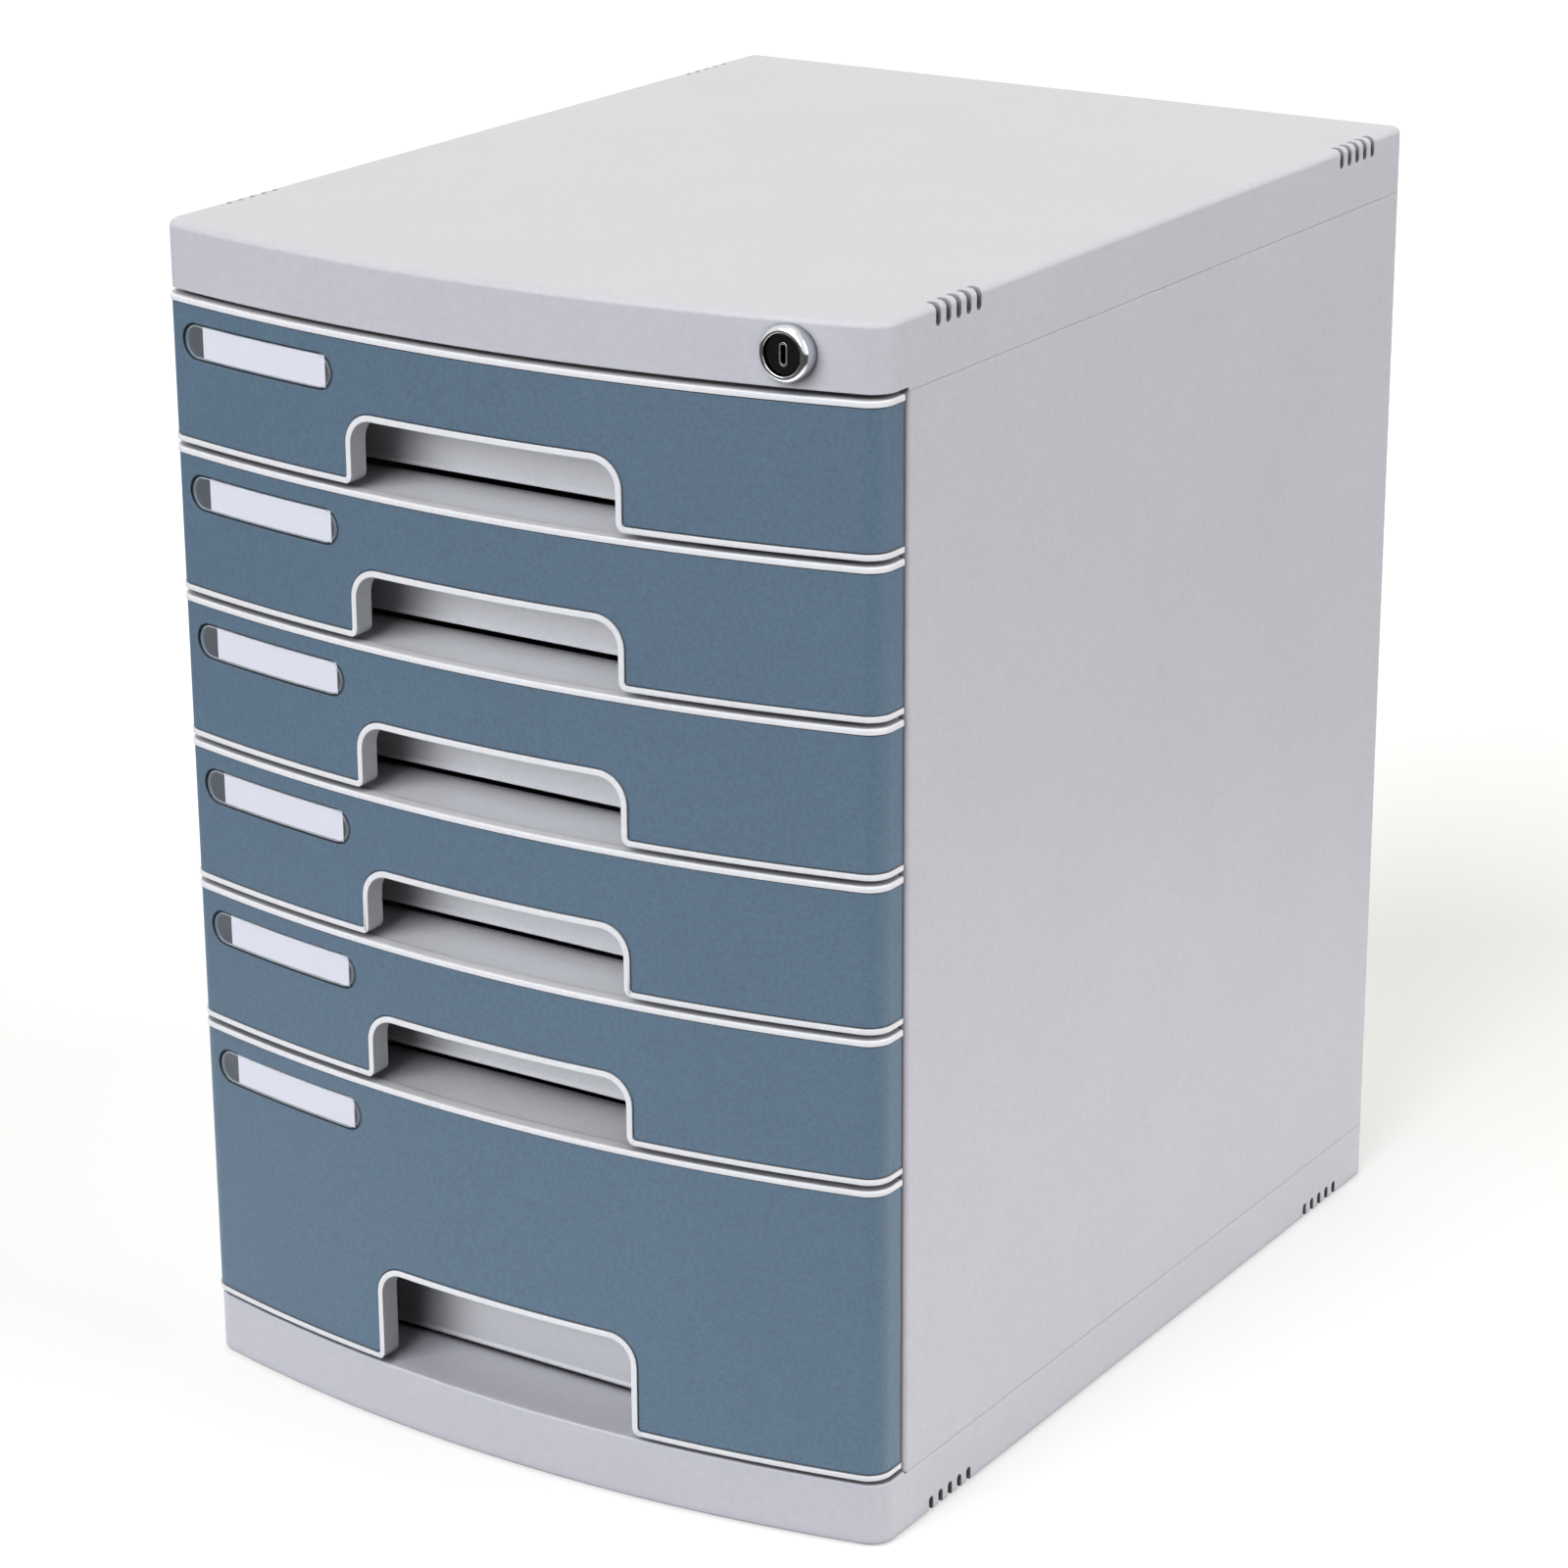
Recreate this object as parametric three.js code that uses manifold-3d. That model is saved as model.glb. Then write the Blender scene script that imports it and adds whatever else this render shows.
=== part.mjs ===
// Desktop file drawer cabinet for A4 papers: five shallow drawers over a deep one, with a cylinder lock.
// Millimetres, +Z up. The origin is the middle of the footprint, on the desk. The drawers face -Y.

import * as THREE from "three";
import { mergeVertices } from "three/addons/utils/BufferGeometryUtils.js";
import Module from "manifold-3d";

const wasm = await Module();
wasm.setup();

// Whole cabinet
const cabinetWidth = 300;
const cabinetDepth = 400; // from the crown of the drawer fronts to the back
const bowRadius = 620; // plan curve of the whole front
const frontCornerRadius = 9;
const rearCornerRadius = 4;
const frontProud = 1.5; // the drawer fronts stand this far before the cover and the base
const skin = 2.5; // wall of the cover, the base and the panels
const seatGap = 0.3; // between pieces that lie against each other
const weld = 0.5; // how far a rib or a lug runs into the wall that carries it
const overrun = 4; // how far a cutter runs past what it cuts

// Heights, from the desk up
const footStandOff = 1;
const baseFrontHeight = 24.6;
const deepPitch = 113;
const shallowPitch = 55.5;
const shallowCount = 5;
const drawerGap = 1.9; // dark gap between two drawer fronts
const coverFrontHeight = 24;

// Top cover
const coverTopRadius = 2.5;
const coverSideDrop = 1.4; // the side walls hang lower than the front wall
const coverRibHeight = 4;
const coverRibShares = [-0.25, 0, 0.25]; // of the width

// Base
const baseSideStep = 1; // the side rims lie lower than the front ledge
const floorDrop = 4.5; // cabinet floor below the front ledge
const baseRibHeight = 6;
const baseRibXShares = [-0.25, 0.25]; // of the width
const baseRibYShares = [-0.22, 0.1]; // of the depth
const ribThickness = 2;

// Feet and their sockets
const footRadius = 8.7;
const footSocketRadius = 9;
const footSocketDepth = 1.5;
const footBossRadius = 11;
const footInsetX = 22; // from the side
const footInsetFront = 51;
const footInsetBack = 30;

// Grooves at the corners of the cover and the base
const grooveCount = 5;
const groovePitch = 6.5;
const grooveWidth = 3;
const grooveDepth = 2.8;
const grooveLength = 7.6;
const grooveTopDepth = 1.8;
const grooveTopReach = 4.5; // over the top edge
const groovePadThickness = 2; // behind the wall, where the grooves are
const grooveFrontInset = 65.5; // middle of the front group behind the crown
const grooveBackInset = 40; // middle of the rear group before the back

// Side panels
const panelFrontRadius = 3;
const panelFrontReturn = 5.8;
const panelFrontReturnThickness = 2.3;
const panelRearReturn = 12;
const tongueThickness = 2.2;
const tongueRise = 6;
const tongueSetBack = 16; // from the panel's ends

// Drawer rails on the side panels
const railPlay = 1.2; // beside the tray's wall
const railThickness = 2.2;
const railFrontSetBack = 16; // behind the panel's front edge
const railBackSetBack = 10;
const railLeadIn = 6;
const runnerPlay = 0.7; // between a runner and the rail over it

// Trays
const trayWall = 2;
const trayFloor = 2;
const trayDraft = 1.4; // narrower at the floor
const trayFloorRadius = 4;
const trayRearRadius = 6;
const trayRearGap = 14; // to the outside of the back panel
const trayFloorRise = 0.7; // over the bay's lower line
const trayRimDrop = 6.4; // runner top below the bay's upper line
const runnerReach = 4.6; // runner beyond the tray's wall
const runnerThickness = 2;

// Drawer fronts
const frontReach = 33.2; // from the crown back to the front's ends
const frontSideInset = 0.3; // a front is narrower than the cabinet by this much at each side
const panelGroove = 0.8; // open groove between a front's end and the side panel
const lipThickness = 2.2;
const lipDepth = 8.5; // how far the lips turn in
const fasciaDrop = 0.5; // fascia behind the lips
const fasciaThickness = 2.2;
const fasciaPlay = 0.15; // round the fascia's edges
const frontSkin = 2;
const ledgeDrop = 0.4; // ledge below its front lip
const wingThickness = 2.4;
const frontRibSetOut = 20; // first rib beyond the grip
const frontRibPitch = 38;
const frontRibCount = 2;

// Grip cut-outs
const gripHalfWidth = 55.5;
const gripCornerRadius = 9.3;
const gripFlare = 3.5; // curve out to the lower lip
const shallowGripHeight = 24.8; // over the bay's lower line
const deepGripHeight = 37.5;

// Labels
const windowInset = 48.4; // middle of the window from the cabinet's side
const windowWidth = 77.4;
const windowHeight = 12.2;
const windowBelowFascia = 12.9; // middle of the window below the fascia's top edge
const windowThickness = 0.75;
const windowPlay = 0.2;
const pocketDepth = 1.6;
const cardInset = 11.3; // from the window's left end
const cardEndInset = 5.1; // from its right end
const cardMargin = 0.45; // above and below the card
const cardThickness = 0.35;

// Travel and stops
const drawerTravel = 250;
const stopPlay = 0.5; // left at full travel
const stopSetBack = 3; // stop block behind the rail's front end
const stopBlockLength = 3;
const stopBlockHeight = 11;
const stopLugHeight = 5;
const stopLugLength = 5;
const stopLugReach = 3.4; // beyond the tray's wall
const stopLugDrop = 6.6; // lug top below the runner's top
const lockLugHeight = 5;
const lockLugLength = 5;
const lockLugRise = 12; // over the bay's lower line

// Lock
const lockInset = 32; // axis from the cabinet's side
const bezelRadius = 9.5;
const bezelProud = 5;
const bezelChamfer = 1;
const plugFaceRadius = 7.6;
const plugFaceThickness = 1.4;
const plugFaceDrop = 0.5;
const plugRadius = 5.8;
const plugPlay = 0.25; // round the plug
const barrelRadius = 7.5;
const barrelLength = 15; // behind the cover's face
const barrelPlay = 0.3;
const lockBossRadius = 10.5;
const lockBossDepth = 4.2; // behind the front wall's inner face, on the axis
const nutAcrossFlats = 18;
const nutThickness = 4;
const nutPlay = 0.3; // in the nut's bore
const keySlotWidth = 2.2;
const keySlotHeight = 8;
const keySlotDepth = 6;
const tangSize = 6;
const camThickness = 2;
const camHubRadius = 6;
const camTipRadius = 3.2;
const camPlay = 0.2;
const pinReach = 6.5; // from the lock's axis
const pinRadius = 1.8;
const screwHeadRadius = 4;
const screwHeadThickness = 1.6;
const screwRadius = 1.5;
const screwLength = 6;

// Lock bar and its catches, one to a drawer
const barThickness = 3.2;
const barPlay = 0.4; // to a runner's end
const barWidth = 8;
const barHeadThickness = 2.5;
const barHeadInset = 0.5; // past the lock's axis
const barSlotPlay = 0.6;
const barSlotWall = 2;
const barTail = 3; // below the lowest catch
const catchReach = 2; // from the bar's face
const catchHeight = 4;
const catchThickness = 1.6;
const catchPlay = 1.5; // before the lug
const guideHeight = 5;
const guideLift = 0.2; // guide top over the bay's upper line, in the gap between two trays
const guideRib = 2;
const guideLip = 1;
const guideOverlap = 4.9;

// Smoothness of the curves
const bowSteps = 8;
const cornerSteps = 3;
const gripSteps = 4;
const grooveSteps = 2;
const roundSteps = 18;
const bevelSteps = 2;

// Planes that follow from the sizes
const halfWidth = cabinetWidth / 2;
const backY = cabinetDepth / 2;
const frontCrownY = -cabinetDepth / 2;
const shellCrownY = frontCrownY + frontProud;
const frontEndY = frontCrownY + frontReach;
const panelFrontY = frontEndY + panelGroove;
const innerX = halfWidth - skin;
const deepLineZ = baseFrontHeight + drawerGap / 2;
const topLineZ = deepLineZ + deepPitch + shallowCount * shallowPitch;
const coverFrontZ = topLineZ + drawerGap / 2;
const topZ = coverFrontZ + coverFrontHeight;
const coverSideZ = coverFrontZ - coverSideDrop;
const baseSideZ = baseFrontHeight - baseSideStep;
const floorZ = baseFrontHeight - floorDrop;
const barX = [innerX - seatGap - barThickness, innerX - seatGap];
const runnerOuterX = barX[0] - barPlay;
const trayHalfWidth = runnerOuterX - runnerReach; // outside, at the rim
const railInnerX = trayHalfWidth + railPlay;
const railFrontY = panelFrontY + railFrontSetBack;
const railBackY = backY - railBackSetBack;
const trayBackY = backY - trayRearGap;
const wingBackY = panelFrontY - seatGap;
const trayFrontY = wingBackY - seatGap / 2;
const fasciaBack = fasciaDrop + fasciaThickness;
const recessFloor = fasciaBack + seatGap;
const frontSkinBack = recessFloor + frontSkin;
const windowCentreX = windowInset - halfWidth;
const cardX = [windowCentreX - windowWidth / 2 + cardInset, windowCentreX + windowWidth / 2 - cardEndInset];
const lockX = halfWidth - lockInset;

// The drawers from the top down: the bay's lower line, its height and the grip's height.
const bays = Array.from({ length: shallowCount }, (_, i) => ({
  number: i + 1,
  z: topLineZ - (i + 1) * shallowPitch,
  pitch: shallowPitch,
  grip: shallowGripHeight,
}));
bays.push({ number: shallowCount + 1, z: deepLineZ, pitch: deepPitch, grip: deepGripHeight });

// Finishes
const casingGrey = { color: 0xc6c5cd, roughness: 0.55, metalness: 0 };
const trayGrey = { color: 0xd2d1d6, roughness: 0.5, metalness: 0 };
const slateBlue = { color: 0x627a91, roughness: 0.6, metalness: 0 };
const clearPlastic = { color: 0xdfe6ea, roughness: 0.15, metalness: 0, transparent: true, opacity: 0.4 };
const cardWhite = { color: 0xe4e2ec, roughness: 0.9, metalness: 0 };
const blackRubber = { color: 0x2a2a2c, roughness: 0.9, metalness: 0 };
const blackPlastic = { color: 0x16181a, roughness: 0.35, metalness: 0 };
const chrome = { color: 0xd8dade, roughness: 0.12, metalness: 1 };
const zincSteel = { color: 0xa9acb0, roughness: 0.4, metalness: 1 };

// Solids

function solid(geometry) {
  const bare = geometry.clone();
  bare.deleteAttribute("normal");
  bare.deleteAttribute("uv");
  const merged = mergeVertices(bare);
  const vertProperties = merged.attributes.position.array;
  const triVerts = new Uint32Array(merged.index.array);
  return new wasm.Manifold(new wasm.Mesh({ numProp: 3, vertProperties, triVerts }));
}

function union(pieces) {
  return pieces.reduce((sum, piece) => sum.add(piece));
}

// A block between two x, two y and two z planes.
function block(x, y, z) {
  const geometry = new THREE.BoxGeometry(x[1] - x[0], y[1] - y[0], z[1] - z[0]);
  geometry.translate((x[0] + x[1]) / 2, (y[0] + y[1]) / 2, (z[0] + z[1]) / 2);
  return solid(geometry);
}

// The same block at both sides of the cabinet.
function blockPair(x, y, z) {
  return block(x, y, z).add(block([-x[1], -x[0]], y, z));
}

// An outline, run from one plane to another.
function extrude(points, run) {
  return new THREE.ExtrudeGeometry(new THREE.Shape(points), { depth: run[1] - run[0], bevelEnabled: false });
}

// An outline of x and y, raised along Z.
function prismUp(points, z) {
  const geometry = extrude(points, z);
  geometry.translate(0, 0, z[0]);
  return solid(geometry);
}

// An outline of x and z, run along Y.
function prismBack(points, y) {
  const geometry = extrude(points, y);
  geometry.translate(0, 0, -y[1]);
  geometry.rotateX(Math.PI / 2);
  return solid(geometry);
}

// An outline of y and z, run along X.
function prismAcross(points, x) {
  const geometry = extrude(points, x);
  geometry.translate(0, 0, x[0]);
  const across = new THREE.Matrix4().makeBasis(
    new THREE.Vector3(0, 1, 0),
    new THREE.Vector3(0, 0, 1),
    new THREE.Vector3(1, 0, 0),
  );
  geometry.applyMatrix4(across);
  return solid(geometry);
}

// A round bar along Y at the lock's axis.
function barAlongY(radius, y, x, z) {
  const geometry = new THREE.CylinderGeometry(radius, radius, y[1] - y[0], roundSteps);
  geometry.translate(x, (y[0] + y[1]) / 2, z);
  return solid(geometry);
}

// A round bar that stands upright.
function barAlongZ(radius, x, y, z) {
  const geometry = new THREE.CylinderGeometry(radius, radius, z[1] - z[0], roundSteps);
  geometry.rotateX(Math.PI / 2);
  geometry.translate(x, y, (z[0] + z[1]) / 2);
  return solid(geometry);
}

function arc(centreX, centreY, radius, from, to, steps) {
  return Array.from({ length: steps + 1 }, (_, i) => {
    const angle = from + ((to - from) * i) / steps;
    return new THREE.Vector2(centreX + radius * Math.cos(angle), centreY + radius * Math.sin(angle));
  });
}

function point(x, y) {
  return new THREE.Vector2(x, y);
}

// The plan outline with its bowed front, set in by a wall, down to a back plane.
function bowOutline(crownY, half, inset, back, rearRadius) {
  const cornerX = half - frontCornerRadius;
  const reach = bowRadius - frontCornerRadius;
  const bowCentreY = crownY + bowRadius;
  const cornerY = bowCentreY - Math.sqrt(reach ** 2 - cornerX ** 2);
  const swing = Math.asin(cornerX / reach);
  const down = -Math.PI / 2;
  const radius = frontCornerRadius - inset;
  const rear = Math.max(rearRadius - inset, 0);
  const side = half - inset;
  const rearCorners =
    rear > 0
      ? [
          ...arc(side - rear, back - rear, rear, 0, Math.PI / 2, cornerSteps),
          ...arc(rear - side, back - rear, rear, Math.PI / 2, Math.PI, cornerSteps),
        ]
      : [point(side, back), point(-side, back)];
  return [
    ...arc(0, bowCentreY, bowRadius - inset, down - swing, down + swing, bowSteps),
    ...arc(cornerX, cornerY, radius, down + swing, 0, cornerSteps).slice(1),
    ...rearCorners,
    ...arc(-cornerX, cornerY, radius, Math.PI, Math.PI * 1.5 - swing, cornerSteps).slice(0, -1),
  ];
}

// How far the bow has fallen back at a distance from the middle.
function bowFall(x) {
  return bowRadius - Math.sqrt(bowRadius ** 2 - x ** 2);
}

// The cabinet's plan, for the cover and the base.
function shellPlan(inset, z) {
  return prismUp(bowOutline(shellCrownY, halfWidth, inset, backY - inset, rearCornerRadius), z);
}

const grooveMiddles = [frontCrownY + grooveFrontInset, backY - grooveBackInset];

// Thicker walls behind the grooves, at both sides.
function groovePads(z) {
  const reach = ((grooveCount - 1) * groovePitch + grooveWidth) / 2 + skin;
  const x = [innerX - groovePadThickness, innerX + weld];
  return union(grooveMiddles.map((middle) => blockPair(x, [middle - reach, middle + reach], z)));
}

// Five grooves in a row, round at one end, cut into both sides at a height.
function grooves(z, roundEnd) {
  const cutters = [];
  const radius = grooveWidth / 2;
  for (const middle of grooveMiddles) {
    for (let i = 0; i < grooveCount; i += 1) {
      const y = middle + (i - (grooveCount - 1) / 2) * groovePitch;
      const foot = arc(y, z[0] + radius, radius, Math.PI, 2 * Math.PI, grooveSteps);
      const head = arc(y, z[1] - radius, radius, 0, Math.PI, grooveSteps);
      const points =
        roundEnd === "low"
          ? [...foot, point(y + radius, z[1]), point(y - radius, z[1])]
          : [...head, point(y - radius, z[0]), point(y + radius, z[0])];
      cutters.push(prismAcross(points, [halfWidth - grooveDepth, halfWidth + overrun]));
      cutters.push(prismAcross(points, [-halfWidth - overrun, grooveDepth - halfWidth]));
      if (roundEnd === "low") {
        const x = [halfWidth - grooveTopReach, halfWidth + overrun];
        cutters.push(blockPair(x, [y - radius, y + radius], [topZ - grooveTopDepth, topZ + overrun]));
      }
    }
  }
  return union(cutters);
}

// Top cover

const lockZ = coverFrontZ + coverFrontHeight / 2;
const wallY = shellCrownY + bowFall(lockX);
const bossBackY = wallY + skin + lockBossDepth;

function makeCover() {
  const depth = topZ - coverTopRadius - coverSideZ + overrun;
  const geometry = new THREE.ExtrudeGeometry(
    new THREE.Shape(bowOutline(shellCrownY, halfWidth, 0, backY, rearCornerRadius)),
    {
      depth,
      bevelEnabled: true,
      bevelThickness: coverTopRadius,
      bevelSize: coverTopRadius,
      bevelOffset: -coverTopRadius,
      bevelSegments: bevelSteps,
    },
  );
  geometry.translate(0, 0, topZ - coverTopRadius - depth);
  const wide = [-halfWidth - overrun, halfWidth + overrun];
  const below = block(wide, [frontCrownY, backY + overrun], [coverSideZ - 3 * overrun, coverSideZ]);
  const frontRelief = block(wide, [frontCrownY, panelFrontY], [coverSideZ - overrun, coverFrontZ]);
  const hollow = shellPlan(skin, [coverSideZ - 3 * overrun, topZ - skin]);
  let cover = solid(geometry).subtract(hollow).subtract(below);

  const ceiling = topZ - skin + weld;
  const ribs = coverRibShares.map((share) => {
    const x = share * cabinetWidth;
    const y = [railFrontY, backY - skin + weld];
    const z = [topZ - skin - coverRibHeight, ceiling];
    return block([x - ribThickness / 2, x + ribThickness / 2], y, z);
  });
  const boss = barAlongY(lockBossRadius, [wallY, bossBackY], lockX, lockZ).intersect(
    shellPlan(skin - weld, [coverFrontZ, topZ - skin + weld]),
  );
  const pads = groovePads([topZ - grooveLength - skin, ceiling]);
  cover = union([cover, boss, pads, ...ribs]).subtract(frontRelief);
  const bore = barAlongY(barrelRadius + barrelPlay, [frontCrownY, bossBackY + overrun], lockX, lockZ);
  return cover.subtract(bore).subtract(grooves([topZ - grooveLength, topZ + overrun], "low"));
}

// Base

const footPlaces = [
  { name: "foot_front_left", x: footInsetX - halfWidth, y: frontCrownY + footInsetFront },
  { name: "foot_front_right", x: halfWidth - footInsetX, y: frontCrownY + footInsetFront },
  { name: "foot_rear_left", x: footInsetX - halfWidth, y: backY - footInsetBack },
  { name: "foot_rear_right", x: halfWidth - footInsetX, y: backY - footInsetBack },
];
const socketZ = footStandOff + footSocketDepth;

function makeBase() {
  const rim = [footStandOff, baseFrontHeight];
  const wide = [-halfWidth - overrun, halfWidth + overrun];
  const stepY = panelFrontY + skin;
  const sideStep = block(wide, [panelFrontY, backY + overrun], [baseSideZ, baseFrontHeight + overrun]);
  const floorPocket = shellPlan(skin, [floorZ, baseFrontHeight + overrun]).subtract(
    block(wide, [frontCrownY, stepY], rim),
  );
  const hollow = shellPlan(skin, [footStandOff - overrun, floorZ - skin]);
  const frontHollow = shellPlan(skin, [footStandOff - overrun, baseFrontHeight - skin]).subtract(
    block(wide, [panelFrontY, backY + overrun], [footStandOff - 2 * overrun, baseFrontHeight]),
  );
  const ribZ = [floorZ - skin - baseRibHeight, floorZ - skin + weld];
  const lengthways = baseRibXShares.map((share) => {
    const x = share * cabinetWidth;
    const y = [panelFrontY - weld, backY - skin + weld];
    return block([x - ribThickness / 2, x + ribThickness / 2], y, ribZ);
  });
  const across = baseRibYShares.map((share) => {
    const y = share * cabinetDepth;
    const reach = innerX + weld;
    return block([-reach, reach], [y - ribThickness / 2, y + ribThickness / 2], ribZ);
  });
  const ribs = [...lengthways, ...across];
  const bossZ = [footStandOff, floorZ - weld];
  const cutZ = [footStandOff - overrun, socketZ];
  const bosses = footPlaces.map((foot) => barAlongZ(footBossRadius, foot.x, foot.y, bossZ));
  const sockets = footPlaces.map((foot) => barAlongZ(footSocketRadius, foot.x, foot.y, cutZ));
  const shell = shellPlan(0, rim).subtract(union([sideStep, floorPocket, hollow, frontHollow]));
  const grooveTop = grooveLength - footStandOff;
  const pads = groovePads([footStandOff, grooveTop + skin]);
  const body = union([shell, pads, ...ribs, ...bosses]).subtract(union(sockets));
  return body.subtract(grooves([footStandOff - overrun, grooveTop], "high"));
}

function makeFoot(foot) {
  return barAlongZ(footRadius, foot.x, foot.y, [0, socketZ - seatGap]);
}

// Side panels: the right one, with the mirror image at the left

const panelZ = [baseSideZ + seatGap, coverSideZ - seatGap];
const barFrontY = panelFrontY + panelFrontReturnThickness + seatGap;
const barBackY = barFrontY + barWidth;
const lockLugY = barFrontY + catchThickness + catchPlay;
const stopY = railFrontY + stopSetBack;
const stopLugY = stopY + stopBlockLength + drawerTravel + stopPlay;

function makePanel(guidesBar) {
  const returnX = halfWidth - panelFrontReturn;
  const rearX = halfWidth - panelRearReturn;
  const frontArcX = halfWidth - panelFrontRadius;
  const frontArcY = panelFrontY + panelFrontRadius;
  const rearArc = [halfWidth - rearCornerRadius, backY - rearCornerRadius];
  const plan = [
    point(returnX, panelFrontY),
    ...arc(frontArcX, frontArcY, panelFrontRadius, -Math.PI / 2, 0, cornerSteps),
    ...arc(rearArc[0], rearArc[1], rearCornerRadius, 0, Math.PI / 2, cornerSteps),
    point(rearX, backY),
    point(rearX, backY - skin),
    point(innerX, backY - skin),
    point(innerX, panelFrontY + panelFrontReturnThickness),
    point(returnX, panelFrontY + panelFrontReturnThickness),
  ];
  const pieces = [prismUp(plan, panelZ)];

  const tongueX = [innerX - seatGap - tongueThickness, innerX - seatGap];
  const tongueRootX = [tongueX[0], innerX + weld];
  const tongueY = [panelFrontY + tongueSetBack, backY - tongueSetBack];
  const root = 2 * tongueRise;
  pieces.push(block(tongueX, tongueY, [panelZ[1] - weld, coverSideZ + tongueRise]));
  pieces.push(block(tongueRootX, tongueY, [panelZ[1] - root, panelZ[1]]));
  pieces.push(block(tongueX, tongueY, [floorZ + seatGap, panelZ[0] + weld]));
  pieces.push(block(tongueRootX, tongueY, [panelZ[0], panelZ[0] + root]));

  for (const bay of bays) {
    const line = bay.z + bay.pitch;
    const runnerTop = line - trayRimDrop;
    const carryTop = runnerTop - runnerThickness - seatGap;
    for (const low of [carryTop - railThickness, runnerTop + runnerPlay]) {
      const rail = [
        point(innerX + weld, railFrontY),
        point(innerX + weld, railBackY),
        point(railInnerX, railBackY),
        point(railInnerX, railFrontY + railLeadIn),
        point(innerX - weld, railFrontY),
      ];
      pieces.push(prismUp(rail.reverse(), [low, low + railThickness]));
    }
    const stopX = [railInnerX + seatGap, innerX + weld];
    const stopTop = carryTop - railThickness + weld;
    pieces.push(block(stopX, [stopY, stopY + stopBlockLength], [stopTop - stopBlockHeight, stopTop]));
    if (guidesBar && bay.number % 2 === 0) {
      const guideZ = [line + guideLift - guideHeight, line + guideLift];
      const ribY = [barBackY + seatGap, barBackY + seatGap + guideRib];
      const lipX = [barX[0] - seatGap - guideLip, barX[0] - seatGap];
      pieces.push(block([lipX[0], innerX + weld], ribY, guideZ));
      pieces.push(block(lipX, [ribY[0] - guideOverlap, ribY[1]], guideZ));
    }
  }
  return union(pieces);
}

// Back panel: stepped at its sides, so that it lies behind the side panels' rear returns

function makeBackPanel() {
  const faceX = halfWidth - panelRearReturn - seatGap;
  const edgeX = innerX - skin;
  const shoulderX = faceX - skin - tongueThickness;
  const edgeBack = backY - skin - seatGap;
  const edgeFront = edgeBack - tongueThickness;
  const half = [
    point(faceX, backY),
    point(faceX, edgeBack),
    point(edgeX, edgeBack),
    point(edgeX, edgeFront),
    point(shoulderX, edgeFront),
    point(shoulderX, backY - skin),
  ];
  const otherHalf = half.map((p) => point(-p.x, p.y)).reverse();
  const plate = prismUp([...half, ...otherHalf].reverse(), panelZ);
  const tongueX = [-shoulderX, shoulderX];
  const tongueY = [edgeFront, edgeBack];
  const rootY = [edgeFront, backY - skin + weld];
  const root = 2 * tongueRise;
  return union([
    plate,
    block(tongueX, tongueY, [panelZ[1] - weld, coverSideZ + tongueRise]),
    block(tongueX, rootY, [panelZ[1] - root, panelZ[1]]),
    block(tongueX, tongueY, [floorZ + seatGap, panelZ[0] + weld]),
    block(tongueX, rootY, [panelZ[0], panelZ[0] + root]),
  ]);
}

// Drawers, in a frame of their own with z = 0 at the bay's lower line

function frontPlan(inset, back, z) {
  return prismUp(bowOutline(frontCrownY, halfWidth - frontSideInset, inset, back, 0), z);
}

// A wall that follows the bow, between two insets.
function frontBand(from, to, back, z) {
  const inside = frontPlan(to, back + overrun, [z[0] - overrun, z[1] + overrun]);
  return frontPlan(from, back, z).subtract(inside);
}

// The grip cut-out, grown outwards by an offset.
function gripOutline(height, offset) {
  const side = gripHalfWidth + offset;
  const top = height + offset;
  const radius = gripCornerRadius + offset;
  const flare = gripFlare - offset;
  const low = drawerGap / 2 + offset;
  const quarter = Math.PI / 2;
  return [
    point(-side - flare, low - overrun),
    point(side + flare, low - overrun),
    ...arc(side + flare, low + flare, flare, 3 * quarter, 2 * quarter, cornerSteps),
    ...arc(side - radius, top - radius, radius, 0, quarter, gripSteps),
    ...arc(radius - side, top - radius, radius, quarter, 2 * quarter, gripSteps),
    ...arc(-side - flare, low + flare, flare, 0, -quarter, cornerSteps),
  ];
}

function rectangle(x, z) {
  return [point(x[0], z[0]), point(x[1], z[0]), point(x[1], z[1]), point(x[0], z[1])];
}

// A pill with half-round ends.
function pill(centreX, centreZ, width, height) {
  const radius = height / 2;
  const run = width / 2 - radius;
  const quarter = Math.PI / 2;
  return [
    ...arc(centreX + run, centreZ, radius, -quarter, quarter, 2 * cornerSteps),
    ...arc(centreX - run, centreZ, radius, quarter, 3 * quarter, 2 * cornerSteps),
  ];
}

const frontCutY = [frontCrownY - overrun, frontCrownY + 2 * lipDepth + overrun];

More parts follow.
